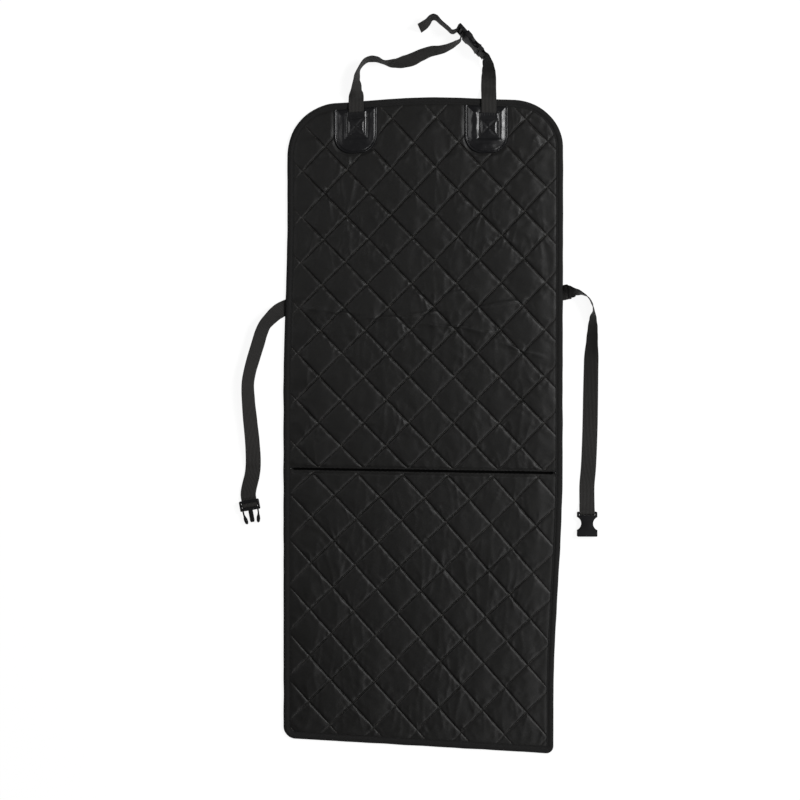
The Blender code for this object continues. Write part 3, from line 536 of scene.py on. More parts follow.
def backing(name, upper, material):
    """Thin non-slip layer under one panel, up to the binding and the seam tape.

    The upper one also closes both ends of the seam's groove, under the pads.
    """
    limit = SEAM_V + (0.5 if upper else -0.5) * SEAM_OPEN
    clear = SEAM_V + (1 if upper else -1) * (TAPE_HALF_WIDTH + 3 * GAP)
    rings = []
    for inset, z, edge in ((0.0150, 0.0002, clear), (0.0124, 0.0012, clear),
                           (0.0122, 0.00125, limit), (0.0122, PAD_UNDER - 0.0001, limit)):
        ring = panel_outline(inset, upper)[1:-1]
        end = SEAM_V - 0.5 * SEAM_OPEN + GAP if upper and edge == limit else edge
        side = (1 if upper else -1) * (HALF_WIDTH - inset)
        inner = side * (1.0 - SEAM_END / HALF_WIDTH)
        ring = [(inner, edge), (inner, end), (side, end), *ring]
        ring += [(-side, end), (-inner, end), (-inner, edge)]
        rings.append([lay(p[0], p[1], z) for p in ring])
    slab = loft(name, rings, material)
    return finish_piece(slab)


def stitch_mesh(name, stitches, material, half=STITCH_HALF_WIDTH):
    """Thread stitches, each from one point to another with its middle standing proud."""
    verts = []
    faces = []
    for start, end in stitches:
        along = end - start
        length = along.length
        along.normalize()
        side = along.cross(Vector((0, 0, 1))).normalized()
        up = side.cross(along)
        first = len(verts)
        verts.append(start)
        for f, r, rise in ((0.14, 0.8, 0.3), (0.5, 1.0, 0.7), (0.86, 0.8, 0.3)):
            centre = start + along * (f * length) + up * (rise * half)
            for k in range(6):
                turn = math.tau * k / 6
                across = side * (half * r * math.cos(turn))
                verts.append(centre + across + up * (half * r * math.sin(turn)))
        verts.append(end)
        last = len(verts) - 1
        for k in range(6):
            nxt = (k + 1) % 6
            faces.append((first, first + 1 + nxt, first + 1 + k))
            for ring in range(2):
                low = first + 1 + 6 * ring
                faces.append((low + k, low + nxt, low + 6 + nxt, low + 6 + k))
            faces.append((first + 13 + k, first + 13 + nxt, last))
    obj = make_object(name, verts, faces, material)
    smooth(obj)
    return obj


def quilting_thread(name, upper, material):
    """Dashes of thread along every quilting line of one pad."""
    quilt = Quilt(upper)
    v_low = SEAM_V + 0.003 if upper else -HALF_HEIGHT
    v_high = HALF_HEIGHT if upper else SEAM_V - 0.003
    s_span, t_span = quilt.spans(v_low, v_high)
    stitches = []
    share = STITCH_PITCH / CELL_PITCH
    for along_s in (True, False):
        moving_span, fixed_span = (s_span, t_span) if along_s else (t_span, s_span)
        for fixed in range(fixed_span[0], fixed_span[1] + 1):
            value = moving_span[0]
            while value < moving_span[1]:
                ends = []
                for place in (value, value + share * STITCH_LENGTH / STITCH_PITCH):
                    s, t = (place, fixed) if along_s else (fixed, place)
                    ends.append(quilt.place(s, t))
                value += share
                keep = all(v_low < v < v_high for _, v in ends)
                keep = keep and all(edge_distance(u, v) > BINDING_WIDTH + 0.0008 for u, v in ends)
                keep = keep and all(patch_depth(u, v) < -0.0010 for u, v in ends)
                if keep:
                    stitches.append([lay(u, v, pad_base(u, v) + 0.00012) for u, v in ends])
    thread = stitch_mesh(name, stitches, material)
    return finish_piece(thread)


def lay_object(obj):
    """Move an object from the flat pattern to the ground."""
    for vertex in obj.data.vertices:
        vertex.co = lay(*vertex.co)


def combine(target, cutter, operation):
    """Join, cut or intersect target with cutter, and remove the cutter."""
    modifier = target.modifiers.new(operation.title(), "BOOLEAN")
    modifier.operation = operation
    modifier.solver = "EXACT"
    modifier.object = cutter
    apply_modifier(target, modifier)
    bpy.data.objects.remove(cutter, do_unlink=True)


def loft(name, rings, material=None, closed=False):
    """Skin a list of equal rings of points, capped unless the loft closes on itself."""
    count = len(rings[0])
    verts = [point for ring in rings for point in ring]
    faces = []
    spans = len(rings) if closed else len(rings) - 1
    for r in range(spans):
        here = r * count
        there = ((r + 1) % len(rings)) * count
        for k in range(count):
            nxt = (k + 1) % count
            faces.append((here + k, here + nxt, there + nxt, there + k))
    if not closed:
        faces.append(tuple(range(count - 1, -1, -1)))
        last = (len(rings) - 1) * count
        faces.append(tuple(range(last, last + count)))
    return make_object(name, verts, faces, material)


def inset_outline(points, amount):
    """Move a counter-clockwise outline inwards along its corner normals."""
    result = []
    count = len(points)
    for k in range(count):
        before = Vector(points[k - 1])
        here = Vector(points[k])
        after = Vector(points[(k + 1) % count])
        d_in = (here - before).normalized()
        d_out = (after - here).normalized()
        n_in = Vector((-d_in.y, d_in.x))
        n_out = Vector((-d_out.y, d_out.x))
        normal = (n_in + n_out).normalized()
        stretch = 1.0 / max(0.5, normal.dot(n_in))
        result.append(tuple(here + normal * amount * stretch))
    return result


def plate(name, outline, low, high, chamfer=0.0, material=None):
    """A flat plate of the given outline, with chamfered rims if asked."""
    levels = [(0.0, low), (0.0, high)]
    if chamfer:
        levels = [
            (chamfer, low),
            (0.0, low + chamfer),
            (0.0, high - chamfer),
            (chamfer, high),
        ]
    rings = []
    for amount, z in levels:
        ring = inset_outline(outline, amount) if amount else outline
        rings.append([(p[0], p[1], z) for p in ring])
    return loft(name, rings, material)


def cut_box(target, x0, x1, y0, y1, z0, z1):
    """Cut a box out of target."""
    outline = [(x0, y0), (x1, y0), (x1, y1), (x0, y1)]
    combine(target, plate("cutter", outline, z0, z1), "DIFFERENCE")


def thin_bar(target, x0, x1):
    """Cut a clip down to a thin webbing bar between two places along it."""
    for low, high in ((-0.02, -BAR_HALF_THICK), (BAR_HALF_THICK, 0.02)):
        cut_box(target, x0, x1, -SLOT_HALF_WIDTH, SLOT_HALF_WIDTH, low, high)


def arc(cx, cy, radius, start, end, steps):
    """Points of an arc, angles in degrees."""
    points = []
    for k in range(steps + 1):
        angle = math.radians(start + (end - start) * k / steps)
        points.append((cx + radius * math.cos(angle), cy + radius * math.sin(angle)))
    return points


def pad_stations():
    """Points of the pad outline with their outward normals, counter-clockwise."""
    corners = [
        (-1, -1, FOOT_RADIUS_LEFT, 180, 12),
        (1, -1, FOOT_RADIUS_RIGHT, 270, 9),
        (1, 1, TOP_RADIUS, 0, 44),
        (-1, 1, TOP_RADIUS, 90, 44),
    ]
    runs = [140, 300, 100, 300]
    stations = []
    for (sx, sy, radius, start, steps), run in zip(corners, runs):
        cx = sx * (HALF_WIDTH - radius)
        cy = sy * (HALF_HEIGHT - radius)
        for k in range(steps + 1):
            angle = math.radians(start + 90.0 * k / steps)
            normal = Vector((math.cos(angle), math.sin(angle)))
            stations.append((Vector((cx, cy)) + normal * radius, normal))
        stations.append(run)
    full = []
    for k, item in enumerate(stations):
        if not isinstance(item, int):
            full.append(item)
            continue
        begin, normal = stations[k - 1]
        end = stations[(k + 1) % len(stations)][0]
        for step in range(1, item):
            full.append((begin.lerp(end, step / item), normal))
    return full


def panel_outline(inset, upper):
    """Outline of the upper or lower panel, moved in by inset at the binding."""
    limit = SEAM_V + (0.5 if upper else -0.5) * SEAM_GAP
    side = HALF_WIDTH - inset
    kept = []
    for point, normal in pad_stations():
        moved = point - normal * inset
        beyond = moved.y > limit + 0.004 if upper else moved.y < limit - 0.004
        if beyond:
            kept.append((moved.x, moved.y))
    if upper:
        kept.sort(key=lambda p: math.atan2(-p[0], p[1] - limit))
        return [(side, limit)] + kept + [(-side, limit)]
    kept.sort(key=lambda p: math.atan2(p[0], limit - p[1]))
    return [(-side, limit)] + kept + [(side, limit)]


def edge_distance(u, v):
    """Distance in from the pad outline, negative outside it."""
    du = HALF_WIDTH - abs(u)
    dv = HALF_HEIGHT - abs(v)
    if v > 0 and du < TOP_RADIUS and dv < TOP_RADIUS:
        return TOP_RADIUS - math.hypot(TOP_RADIUS - du, TOP_RADIUS - dv)
    return min(du, dv)


def patch_outline(centre_u, foot_v, grow=0.0, top_v=PATCH_TOP_V):
    half = PATCH_HALF_WIDTH + grow
    radius = PATCH_RADIUS + grow
    low = foot_v - grow
    points = arc(centre_u - half + radius, low + radius, radius, 180, 270, 24)
    points += arc(centre_u + half - radius, low + radius, radius, 270, 360, 24)
    points += [(centre_u + half, top_v + grow), (centre_u - half, top_v + grow)]
    return points


def hood_centre(foot_v):
    return foot_v + HOOD_ABOVE_FOOT


def binding_ring(material):
    """Edge tape folded round the pads, a little uneven where it is sewn down."""
    low = BINDING_BOTTOM
    cloth = BINDING_CLOTH
    rings = []
    travel = 0.0
    stations = pad_stations()
    for k, (point, normal) in enumerate(stations):
        travel += (point - stations[k - 1][0]).length
        along = Vector((-normal.y, normal.x))
        sway = 0.0005 * noise.noise(Vector((travel / 0.034, 3.0, 7.0)))
        puff = 0.00035 * noise.noise(Vector((travel / 0.011, 0.0, 1.0)))
        phase = 2.0 * noise.noise(Vector((travel / 0.03, 5.0, 1.0)))
        puff += 0.00020 * math.sin(math.tau * travel / 0.0075 + phase)
        top = BINDING_TOP + puff
        width = BINDING_WIDTH + 0.00025 * noise.noise(Vector((travel / 0.030, 9.0, 1.0)))
        section = [
            (width, BINDING_TOP - cloth - 0.0002),
            (width + 0.0001, BINDING_TOP - 0.0006),
            (width - 0.0006, BINDING_TOP - 0.0004),
            (width - 0.0016, BINDING_TOP - 0.0008),
            (width - 0.0022, BINDING_TOP - 0.0008),
            (width - 0.0034, top + 0.0001),
            (width * 0.5, top + 0.0005),
            (0.0030, top + 0.0003),
            (0.0012, top - 0.0006),
            (0.0001, top - 0.0018),
            (0.0001, low + 0.0014),
            (0.0010, low + 0.0003),
            (0.0025, low),
            (width, low),
            (width, low + cloth),
            (0.0016, low + cloth),
            (0.0012, low + cloth + 0.0005),
            (0.0012, BINDING_TOP - cloth - 0.0005),
            (0.0016, BINDING_TOP - cloth),
        ]
        ring = []
        for depth, z in section:
            moved = depth + sway * ease((0.006 - depth) / 0.005)
            ring.append(lay(*(point - normal * moved), z))
        rings.append(ring)
    binding = loft("binding_tape", rings, material, closed=True)
    smooth(binding, 60.0)
    return finish_piece(binding, ["edge_binding"])


def binding_thread(material):
    """Row of stitches near the binding's inner edge, all the way round."""
    stitches = []
    spare = 0.0
    stations = pad_stations()
    for k, (point, normal) in enumerate(stations):
        before, normal_before = stations[k - 1]
        depth = BINDING_WIDTH - 0.0019
        start = before - normal_before * depth
        end = point - normal * depth
        length = (end - start).length
        if length < 1e-6:
            continue
        while spare + STITCH_LENGTH < length:
            a = start.lerp(end, spare / length)
            b = start.lerp(end, (spare + STITCH_LENGTH) / length)
            z = BINDING_TOP - 0.0007
            stitches.append([lay(a.x, a.y, z), lay(b.x, b.y, z)])
            spare += STITCH_PITCH
        spare -= length
        spare = max(0.0, spare)
    thread = stitch_mesh("binding_thread", stitches, material, BINDING_THREAD_HALF)
    return finish_piece(thread)


def patch_height(u, v, centre_u, foot_v, strap_u):
    """Height of a patch's leather: a rolled rim, a pressed line, then a soft glossy swell."""
    depth = min(inside_patch(u, v, centre_u, foot_v), PATCH_TOP_V - v + 0.0030)
    z = PATCH_BOTTOM + 0.0018 * ease((depth + 0.0004) / 0.0018)
    z += 0.0003 * math.exp(-((depth - 0.0018) / 0.0010) ** 2)
    z -= 0.0010 * math.exp(-((depth - 0.0038) / 0.0009) ** 2)
    middle = hood_centre(foot_v)
    du = abs(u - strap_u)
    dv = v - middle
    reach = max(du, abs(dv))
    away = max(du, -dv) - STITCH_HALF
    if dv > 0 and du < STITCH_HALF:
        away = max(away, 0.0)
    swell = ease((depth - 0.0040) / 0.0120) * ease(away / 0.0090)
    swell *= 1.0 + 0.50 * wobble(u, v, 0.015, 40.0)
    z += (LEFT_SWELL if centre_u < 0 else RIGHT_SWELL) * swell
    side = ease((HOOD_HALF + 0.0016 - du) / 0.0026)
    box = side * ease((HOOD_HALF + 0.0016 + dv) / 0.0026)
    box *= ease((COVER_TOP + 0.0012 - dv) / 0.0012)
    plateau = HOOD_TOP + 0.0002 + 0.0004 * ease((dv - 0.010) / 0.006)
    z += (plateau - z) * box
    if reach < STITCH_HALF:
        inner = min(STITCH_HALF - reach, abs(du - abs(dv)) * 0.7071)
        z += 0.0009 * ease(inner / 0.0038) - 0.0004
    elif reach < STITCH_HALF + 0.006:
        z -= 0.0006 * math.exp(-((reach - STITCH_HALF) / 0.0011) ** 2)
    elif dv > STITCH_HALF and du < HOOD_HALF:
        z += 0.00015 * math.sin(math.tau * (u / 0.0042)) * box
    return z


def leather_patch(name, node, centre_u, foot_v, strap_u, material):
    """Leatherette patch with its slit, on rings that close in from its outline."""
    outline = []
    raw = patch_outline(centre_u, foot_v)
    for k, start in enumerate(raw):
        end = raw[(k + 1) % len(raw)]
        pieces = max(1, round(math.dist(start, end) / 0.0016))
        for piece in range(pieces):
            t = piece / pieces
            outline.append((start[0] + (end[0] - start[0]) * t, start[1] + (end[1] - start[1]) * t))
    centre = (strap_u, hood_centre(foot_v) - 0.002)
    verts = [(x, y, PATCH_BOTTOM) for x, y in outline]
    count = len(outline)
    shares = [0.0, 0.004, 0.012] + [0.022 + 0.012 * k for k in range(9)]
    shares += [0.132 + 0.868 * k / 46 for k in range(46)]
    for share in shares:
        for x, y in outline:
            u = x + (centre[0] - x) * share
            v = y + (centre[1] - y) * share
            verts.append((u, v, patch_height(u, v, centre_u, foot_v, strap_u)))
    faces = [tuple(reversed(range(count)))]
    for r in range(len(shares)):
        for k in range(count):
            nxt = (k + 1) % count
            here = r * count
            there = here + count
            faces.append((here + k, here + nxt, there + nxt, there + k))
    last = len(shares) * count
    verts.append((*centre, patch_height(*centre, centre_u, foot_v, strap_u)))
    for k in range(count):
        faces.append((last + k, last + (k + 1) % count, len(verts) - 1))
    patch = make_object(name, verts, faces, material)
    middle = hood_centre(foot_v)
    half = 0.5 * WEB_WIDTH + 0.0004
    ceiling = PATCH_BOTTOM + 0.0001 + WEB_THICKNESS + 0.0004
    high_v = middle + HOOD_HALF
    cover_v = middle + COVER_TOP
    for low_v, end_v, top in (
        (middle - HOOD_HALF + 0.0026, high_v + 0.001, ceiling),
        (high_v - 0.001, cover_v + 0.001, HOOD_TOP - 0.0001),
        (cover_v, high_v + SLIT_LENGTH, 0.03),
    ):
        cut_box(patch, strap_u - half, strap_u + half, low_v, end_v, 0.0, top)
    lay_object(patch)
    smooth(patch, 50.0)
    return finish_piece(patch, [node])


def box_thread(name, node, centre_u, foot_v, strap_u, material):
    """Stitches of the sewn square and its cross, sunk a little into the hood."""
    middle = hood_centre(foot_v)
    half = STITCH_HALF
    corners = [(-half, -half), (half, -half), (half, half), (-half, half)]
    lines = [(corners[k], corners[(k + 1) % 4]) for k in range(4)]
    lines += [(corners[0], corners[2]), (corners[1], corners[3])]
    stitches = []
    for (x0, y0), (x1, y1) in lines:
        length = math.hypot(x1 - x0, y1 - y0)
        count = round(length / 0.0030)
        for k in range(count):
            ends = []
            for share in ((k + 0.10) / count, (k + 0.90) / count):
                u = strap_u + x0 + (x1 - x0) * share
                v = middle + y0 + (y1 - y0) * share
                ends.append(lay(u, v, patch_height(u, v, centre_u, foot_v, strap_u) + 0.0001))
            stitches.append(ends)
    thread = stitch_mesh(name, stitches, material, BOX_THREAD_HALF)
    return finish_piece(thread, [node])


def webbing(name, stations, material, step=0.0030, turn=4.0):
    """Flat webbing with rounded edges along stations of (place and lift, direction across)."""
    points = [place for place, _ in stations]
    acrosses = [across for _, across in stations]
    points = [points[0] * 2 - points[1]] + points + [points[-1] * 2 - points[-2]]
    acrosses = [acrosses[0]] + acrosses + [acrosses[-1]]
    knots = [0.0]
    for k in range(1, len(points)):
        knots.append(knots[-1] + max(1e-4, (points[k] - points[k - 1]).length) ** 0.5)
    places = []
    sides = []
    for k in range(1, len(points) - 2):
        length = (points[k + 1] - points[k]).length
        twist = math.degrees(acrosses[k].angle(acrosses[k + 1]))
        pieces = max(1, round(length / step), math.ceil(twist / turn))
        for piece in range(pieces + (1 if k == len(points) - 3 else 0)):
            t = piece / pieces
            place = catmull(points, k, t, knots)
            side = acrosses[k].lerp(acrosses[k + 1], ease(t)).normalized()
            places.append(Vector((place.x, place.y, max(0.0, place.z) + floor_height(side))))
            sides.append(side)
    section = [(1.0, 0.22), (0.985, 0.62), (0.955, 0.90), (0.86, 1.0), (0.5, 1.0), (0.0, 1.0)]
    section += [(-share, thick) for share, thick in reversed(section[:-1])]
    section += [(share, -thick) for share, thick in reversed(section)]
    rings = []
    travel = [0.0]
    for k, place in enumerate(places):
        before = places[max(0, k - 1)]
        after = places[min(len(places) - 1, k + 1)]
        if k:
            travel.append(travel[-1] + (place - before).length)
        tangent = (after - before).normalized()
        side = sides[k] - tangent * sides[k].dot(tangent)
        side.normalize()
        normal = tangent.cross(side)
        half_w = side * (0.5 * WEB_WIDTH)
        half_t = normal * (0.5 * WEB_THICKNESS)
        low = place.z - abs(half_w.z) - abs(half_t.z)
        centre = place + Vector((0, 0, max(0.0, FLOOR_CLEARANCE - low)))
        rings.append([centre + half_w * share + half_t * thick for share, thick in section])
    ribbon = loft(name + "_webbing", rings, material)
    layer = ribbon.data.uv_layers.new(name="UVMap")
    count = len(section)
    for loop in ribbon.data.loops:
        ring, corner = divmod(loop.vertex_index, count)
        layer.data[loop.index].uv = (0.5 + 0.5 * section[corner][0], travel[ring])
    smooth(ribbon, 50.0)
    finish_piece(ribbon, [name])
    return ribbon


class Frame:
    """A clip's own axes: along it, across its width and out of its face."""

    def __init__(self, origin, angle, roll=0.0, pitch=0.0):
        along = Vector((math.cos(angle), math.sin(angle), 0.0))
        side = Vector((-along.y, along.x, 0.0))
        self.origin = Vector(origin)
        self.along = along * math.cos(pitch) + Vector((0, 0, math.sin(pitch)))
        self.across = side * math.cos(roll) + Vector((0, 0, math.sin(roll)))
        self.face = self.along.cross(self.across).normalized()

    def turned(self, distance):
        """The frame of a mate that faces this one at a distance along it."""
        mate = Frame(self.origin, 0.0)
        mate.origin = self.origin + self.along * distance
        mate.along = -self.along
        mate.across = self.across
        mate.face = -self.face
        return mate

    def at(self, x, y, z):
        return self.origin + self.along * x + self.across * y + self.face * z

    def place(self, obj):
        for vertex in obj.data.vertices:
            vertex.co = self.at(*vertex.co)
        return obj


def mirrored(points):
    """Close a half outline, given from the start to the end, with its mirror image."""
    return points + [(x, -y) for x, y in reversed(points)]


def clip_socket(name, frame, material):
    """Hollow half of a side-release clip: X runs from the webbing bar to the mouth."""
    chord = 0.5 * (SOCKET_NOTCH_END - SOCKET_NOTCH_START)
    depth = CLIP_HALF_WIDTH - SOCKET_WAIST
    radius = (chord * chord + depth * depth) / (2 * depth)
    centre_x = 0.5 * (SOCKET_NOTCH_START + SOCKET_NOTCH_END)
    centre_y = SOCKET_WAIST + radius
    half_angle = math.degrees(math.asin(chord / radius))
    side = [(0.0, -CLIP_HALF_WIDTH + 0.0015), (0.0012, -CLIP_HALF_WIDTH)]
    side += arc(centre_x, -centre_y, radius, 90 + half_angle, 90 - half_angle, 28)
    side += [(SOCKET_LENGTH - 0.0010, -CLIP_HALF_WIDTH), (SOCKET_LENGTH, -CLIP_HALF_WIDTH + 0.001)]
    thick = SOCKET_HALF_THICK
    socket = plate(name, mirrored(side), -thick, thick, 0.0009)
    cut_box(
        socket, CAVITY_START, SOCKET_LENGTH + 0.01, -CAVITY_HALF_WIDTH,
        CAVITY_HALF_WIDTH, -CAVITY_HALF_THICK, CAVITY_HALF_THICK,
    )
    width = SLOT_HALF_WIDTH
    for low, high in ((-0.02, -0.0030), (0.0030, 0.02)):
        cut_box(socket, -0.01, 0.0080, -0.03, 0.03, low, high)
    cut_box(socket, 0.0036, 0.0036 + CLIP_SLOT, -width, width, -0.02, 0.02)
    thin_bar(socket, -0.01, 0.0040)
    cut_box(socket, -0.01, 0.0006, -width, width, -0.02, 0.02)
    socket.data.materials.clear()
    socket.data.materials.append(material)
    return frame.place(bevelled(socket))


def clip_plug(name, frame, material):
    """Barbed half of a side-release clip: X runs from its outer bar to its prongs."""
    half = CLIP_HALF_WIDTH
    corner = 0.0022
    side = arc(corner, -half + corner, corner, 180, 270, 8)
    side += [(PLUG_FRAME_LENGTH - 0.001, -half), (PLUG_FRAME_LENGTH, -half + 0.001)]
    plug = plate(name, mirrored(side), -PLUG_HALF_THICK, PLUG_HALF_THICK, 0.0006)
    width = SLOT_HALF_WIDTH
    bar = PLUG_WALL + PLUG_SLOT
    for low in (bar - CLIP_SLOT, bar + PLUG_BAR):
        cut_box(plug, low, low + CLIP_SLOT, -width, width, -0.02, 0.02)
    thin_bar(plug, 0.0055, 0.0110)
    tongue = [(0.0155, -0.0037), (0.0345, -0.0037), (0.0368, -0.0026)]
    combine(plug, plate("tongue", mirrored(tongue), -0.0016, 0.0016, 0.0004), "UNION")
    prong = [
        (0.0155, 0.0112), (0.0225, 0.0110), (0.0262, 0.0098), (0.0296, 0.0080),
        (0.0345, 0.0071), (0.0382, 0.0076), (0.0393, 0.0094), (0.0378, 0.0118),
        (0.0335, 0.0133), (0.0285, 0.0136), (0.0262, 0.0131), (0.0225, 0.0134),
        (0.0155, 0.0137),
    ]
    for sign in (1, -1):
        outline = [(x, sign * y) for x, y in prong]
        if sign < 0:
            outline.reverse()
        combine(plug, plate("prong", outline, -0.0020, 0.0020, 0.0004), "UNION")
    plug.data.materials.clear()
    plug.data.materials.append(material)
    return frame.place(bevelled(plug))


def floor_height(across):
    """Height of the webbing's centre when its low edge rests on the ground."""
    rise = abs(across.z)
    flat = math.sqrt(max(0.0, 1.0 - rise * rise))
    return 0.5 * WEB_WIDTH * rise + 0.5 * WEB_THICKNESS * flat + FLOOR_CLEARANCE


def banked(x, y, heading, bank, lift=0.0):
    """A station on the ground: heading of travel and bank of the webbing in degrees."""
    direction = math.radians(heading)
    left = Vector((-math.sin(direction), math.cos(direction), 0.0))
    tip = math.radians(bank)
    across = left * math.cos(tip) + Vector((0, 0, math.sin(tip)))
    return Vector((x, y, lift)), across


def placed(point, across):
    """A station at a known height above the ground."""
    return Vector((point.x, point.y, point.z - floor_height(across))), across.copy()


def path_stations(root, path, banks_at, lifts=()):
    """Ground stations at places out from root, headed along the path, banked as listed.

    The last points may be lifted off the ground, or the first when lifts starts high.
    """
    raised = [0.0] * len(path)
    if lifts and lifts[0] > lifts[-1]:
        raised[:len(lifts)] = lifts
    elif lifts:
        raised[-len(lifts):] = lifts
    stations = []
    for k, (x, y) in enumerate(path):
        before = path[max(0, k - 1)]
        after = path[min(len(path) - 1, k + 1)]
        heading = math.degrees(math.atan2(after[1] - before[1], after[0] - before[0]))
        stations.append(banked(root.x + x, root.y + y, heading, banks_at[k], raised[k]))
    return stations


def catmull(values, k, t, knots):
    """Centripetal Catmull-Rom value between stations k and k + 1."""
    p0, p1, p2, p3 = values[k - 1], values[k], values[k + 1], values[k + 2]
    t0, t1, t2, t3 = knots[k - 1], knots[k], knots[k + 1], knots[k + 2]
    now = t1 + (t2 - t1) * t
    a1 = p0 * ((t1 - now) / (t1 - t0)) + p1 * ((now - t0) / (t1 - t0))
    a2 = p1 * ((t2 - now) / (t2 - t1)) + p2 * ((now - t1) / (t2 - t1))
    a3 = p2 * ((t3 - now) / (t3 - t2)) + p3 * ((now - t2) / (t3 - t2))
    b1 = a1 * ((t2 - now) / (t2 - t0)) + a2 * ((now - t0) / (t2 - t0))
    b2 = a2 * ((t3 - now) / (t3 - t1)) + a3 * ((now - t1) / (t3 - t1))
    return b1 * ((t2 - now) / (t2 - t1)) + b2 * ((now - t1) / (t2 - t1))


def patch_stations(strap_u, foot_v):
    """Stations from the webbing's sewn end, up through the slit and over the binding."""
    middle = hood_centre(foot_v)
    end = middle - HOOD_HALF + 0.0034
    slit = middle + HOOD_HALF
    sunk = PATCH_BOTTOM + 0.0001 + 0.5 * WEB_THICKNESS
    raised = PATCH_RIM_TOP + 0.0006 + 0.5 * WEB_THICKNESS
    heights = [(end, sunk), (slit - 0.001, sunk), (slit + SLIT_LENGTH, raised),
               (HALF_HEIGHT + 0.002, raised)]
    stations = []
    for v, z in heights:
        across = (lay(strap_u - 0.01, v, z) - lay(strap_u + 0.01, v, z)).normalized()
        stations.append(placed(lay(strap_u, v, z), across))
    return stations


def plug_loop(frame, across):
    """Webbing round the plug's middle bar, from its face side and back to it."""
    path = [(0.0166, 0.0072), (0.0146, 0.0050), (0.0130, 0.0027), (0.0122, 0.0003),
            (0.0112, -0.0018), (0.0082, -0.0028), (0.0054, -0.0021), (0.0043, -0.0003),
            (0.0040, 0.0020), (0.0036, 0.0048)]
    return [placed(frame.at(x, 0.0, z), across) for x, z in path]


def head_strap_long(plug, material):
    """Left head strap, banked onto its edge, through the plug's bar, with a free tail."""
    stations = patch_stations(LEFT_STRAP_U, LEFT_PATCH_FOOT_V)
    path = [(-0.1092, 0.0239), (-0.1089, 0.0387), (-0.1043, 0.0552), (-0.0940, 0.0673),
            (-0.0841, 0.0698), (-0.0742, 0.0685), (-0.0650, 0.0643), (-0.0479, 0.0625),
            (-0.0313, 0.0656), (-0.0181, 0.0694), (-0.0050, 0.0757), (0.0132, 0.0825),
            (0.0297, 0.0849), (0.0446, 0.0902), (0.0545, 0.0957), (0.0596, 0.0990)]
    banks = [51, 69, 85, 80, 76, 79, 85, 66, 49, 43, 49, 58, 67, 75, 82, 86]
    stations += path_stations(HEAD_STRAP_ROOT, path, banks, (0.0006, 0.0018, 0.0034, 0.0046))
    stations += plug_loop(plug, plug.across)
    tail = [(0.0480, 0.1135), (0.0396, 0.1204), (0.0322, 0.1270), (0.0265, 0.1325),
            (0.0225, 0.1368), (0.0172, 0.1387), (0.0120, 0.1363), (0.0082, 0.1310),
            (0.0022, 0.1255), (-0.0061, 0.1201)]
    banks = [96, 95, 95, 97, 100, 103, 105, 110, 116, 118]
    stations += path_stations(HEAD_STRAP_ROOT, tail, banks, (0.0042, 0.0026, 0.0010, 0.0))
    return webbing("head_strap_long", stations, material)


def socket_loop(frame, across, twist=0.0):
    """Webbing that comes to the socket, turns round its bar and ends sewn to itself."""
    bar = BAR_HALF_THICK + 0.5 * WEB_THICKNESS + 0.0006
    drop = frame.origin.z - FLOOR_CLEARANCE - 0.5 * WEB_THICKNESS if not twist else 0.0
    half = 0.5 * LAYER_PITCH
    if drop:
        path = [(-0.0320, -drop), (-0.0240, -drop + 0.0006), (-0.0150, -drop + LAYER_PITCH),
                (-0.0080, -drop + LAYER_PITCH + 0.0012), (-0.0030, 0.0009),
                (0.0006, bar + 0.0001), (0.0034, bar - 0.0001), (0.0052, 0.0008),
                (0.0052, -0.0008), (0.0034, -bar + 0.0001), (0.0006, -bar - 0.0002),
                (-0.0035, -0.0032), (-0.0080, -drop + 0.0004), (-0.0128, -drop)]
    else:
        path = [(-0.0105, half + 0.0004),
                (-0.0038, half + 0.0008), (0.0004, bar), (0.0034, bar - 0.0001),
                (0.0052, 0.0008), (0.0052, -0.0008), (0.0034, -bar + 0.0001), (0.0004, -bar),
                (-0.0038, -half - 0.0008), (-0.0070, -half - 0.0005)]
    stations = []
    for x, z in path:
        turn = -math.radians(twist) * ease(-x / 0.014)
        side = across * math.cos(turn) + frame.face * math.sin(turn)
        normal = frame.along.cross(side).normalized()
        point = frame.at(x, 0.0, 0.0) + normal * z * (1 if normal.dot(frame.face) > 0 else -1)
        stations.append(placed(point, side))
    return stations


def head_strap_short(socket, material):
    """Right head strap, banked over to the socket and sewn round its bar."""
    stations = patch_stations(RIGHT_STRAP_U, RIGHT_PATCH_FOOT_V)
    path = [(0.1081, 0.0255), (0.1082, 0.0371), (0.1082, 0.0480), (0.1072, 0.0590)]
    banks = [-4, -14, -30, -48]
    stations += path_stations(HEAD_STRAP_ROOT, path, banks, (0.0, 0.0, 0.0007, 0.0026))
    stations += socket_loop(socket, -socket.across, twist=16.0)
    return webbing("head_strap_short", stations, material)


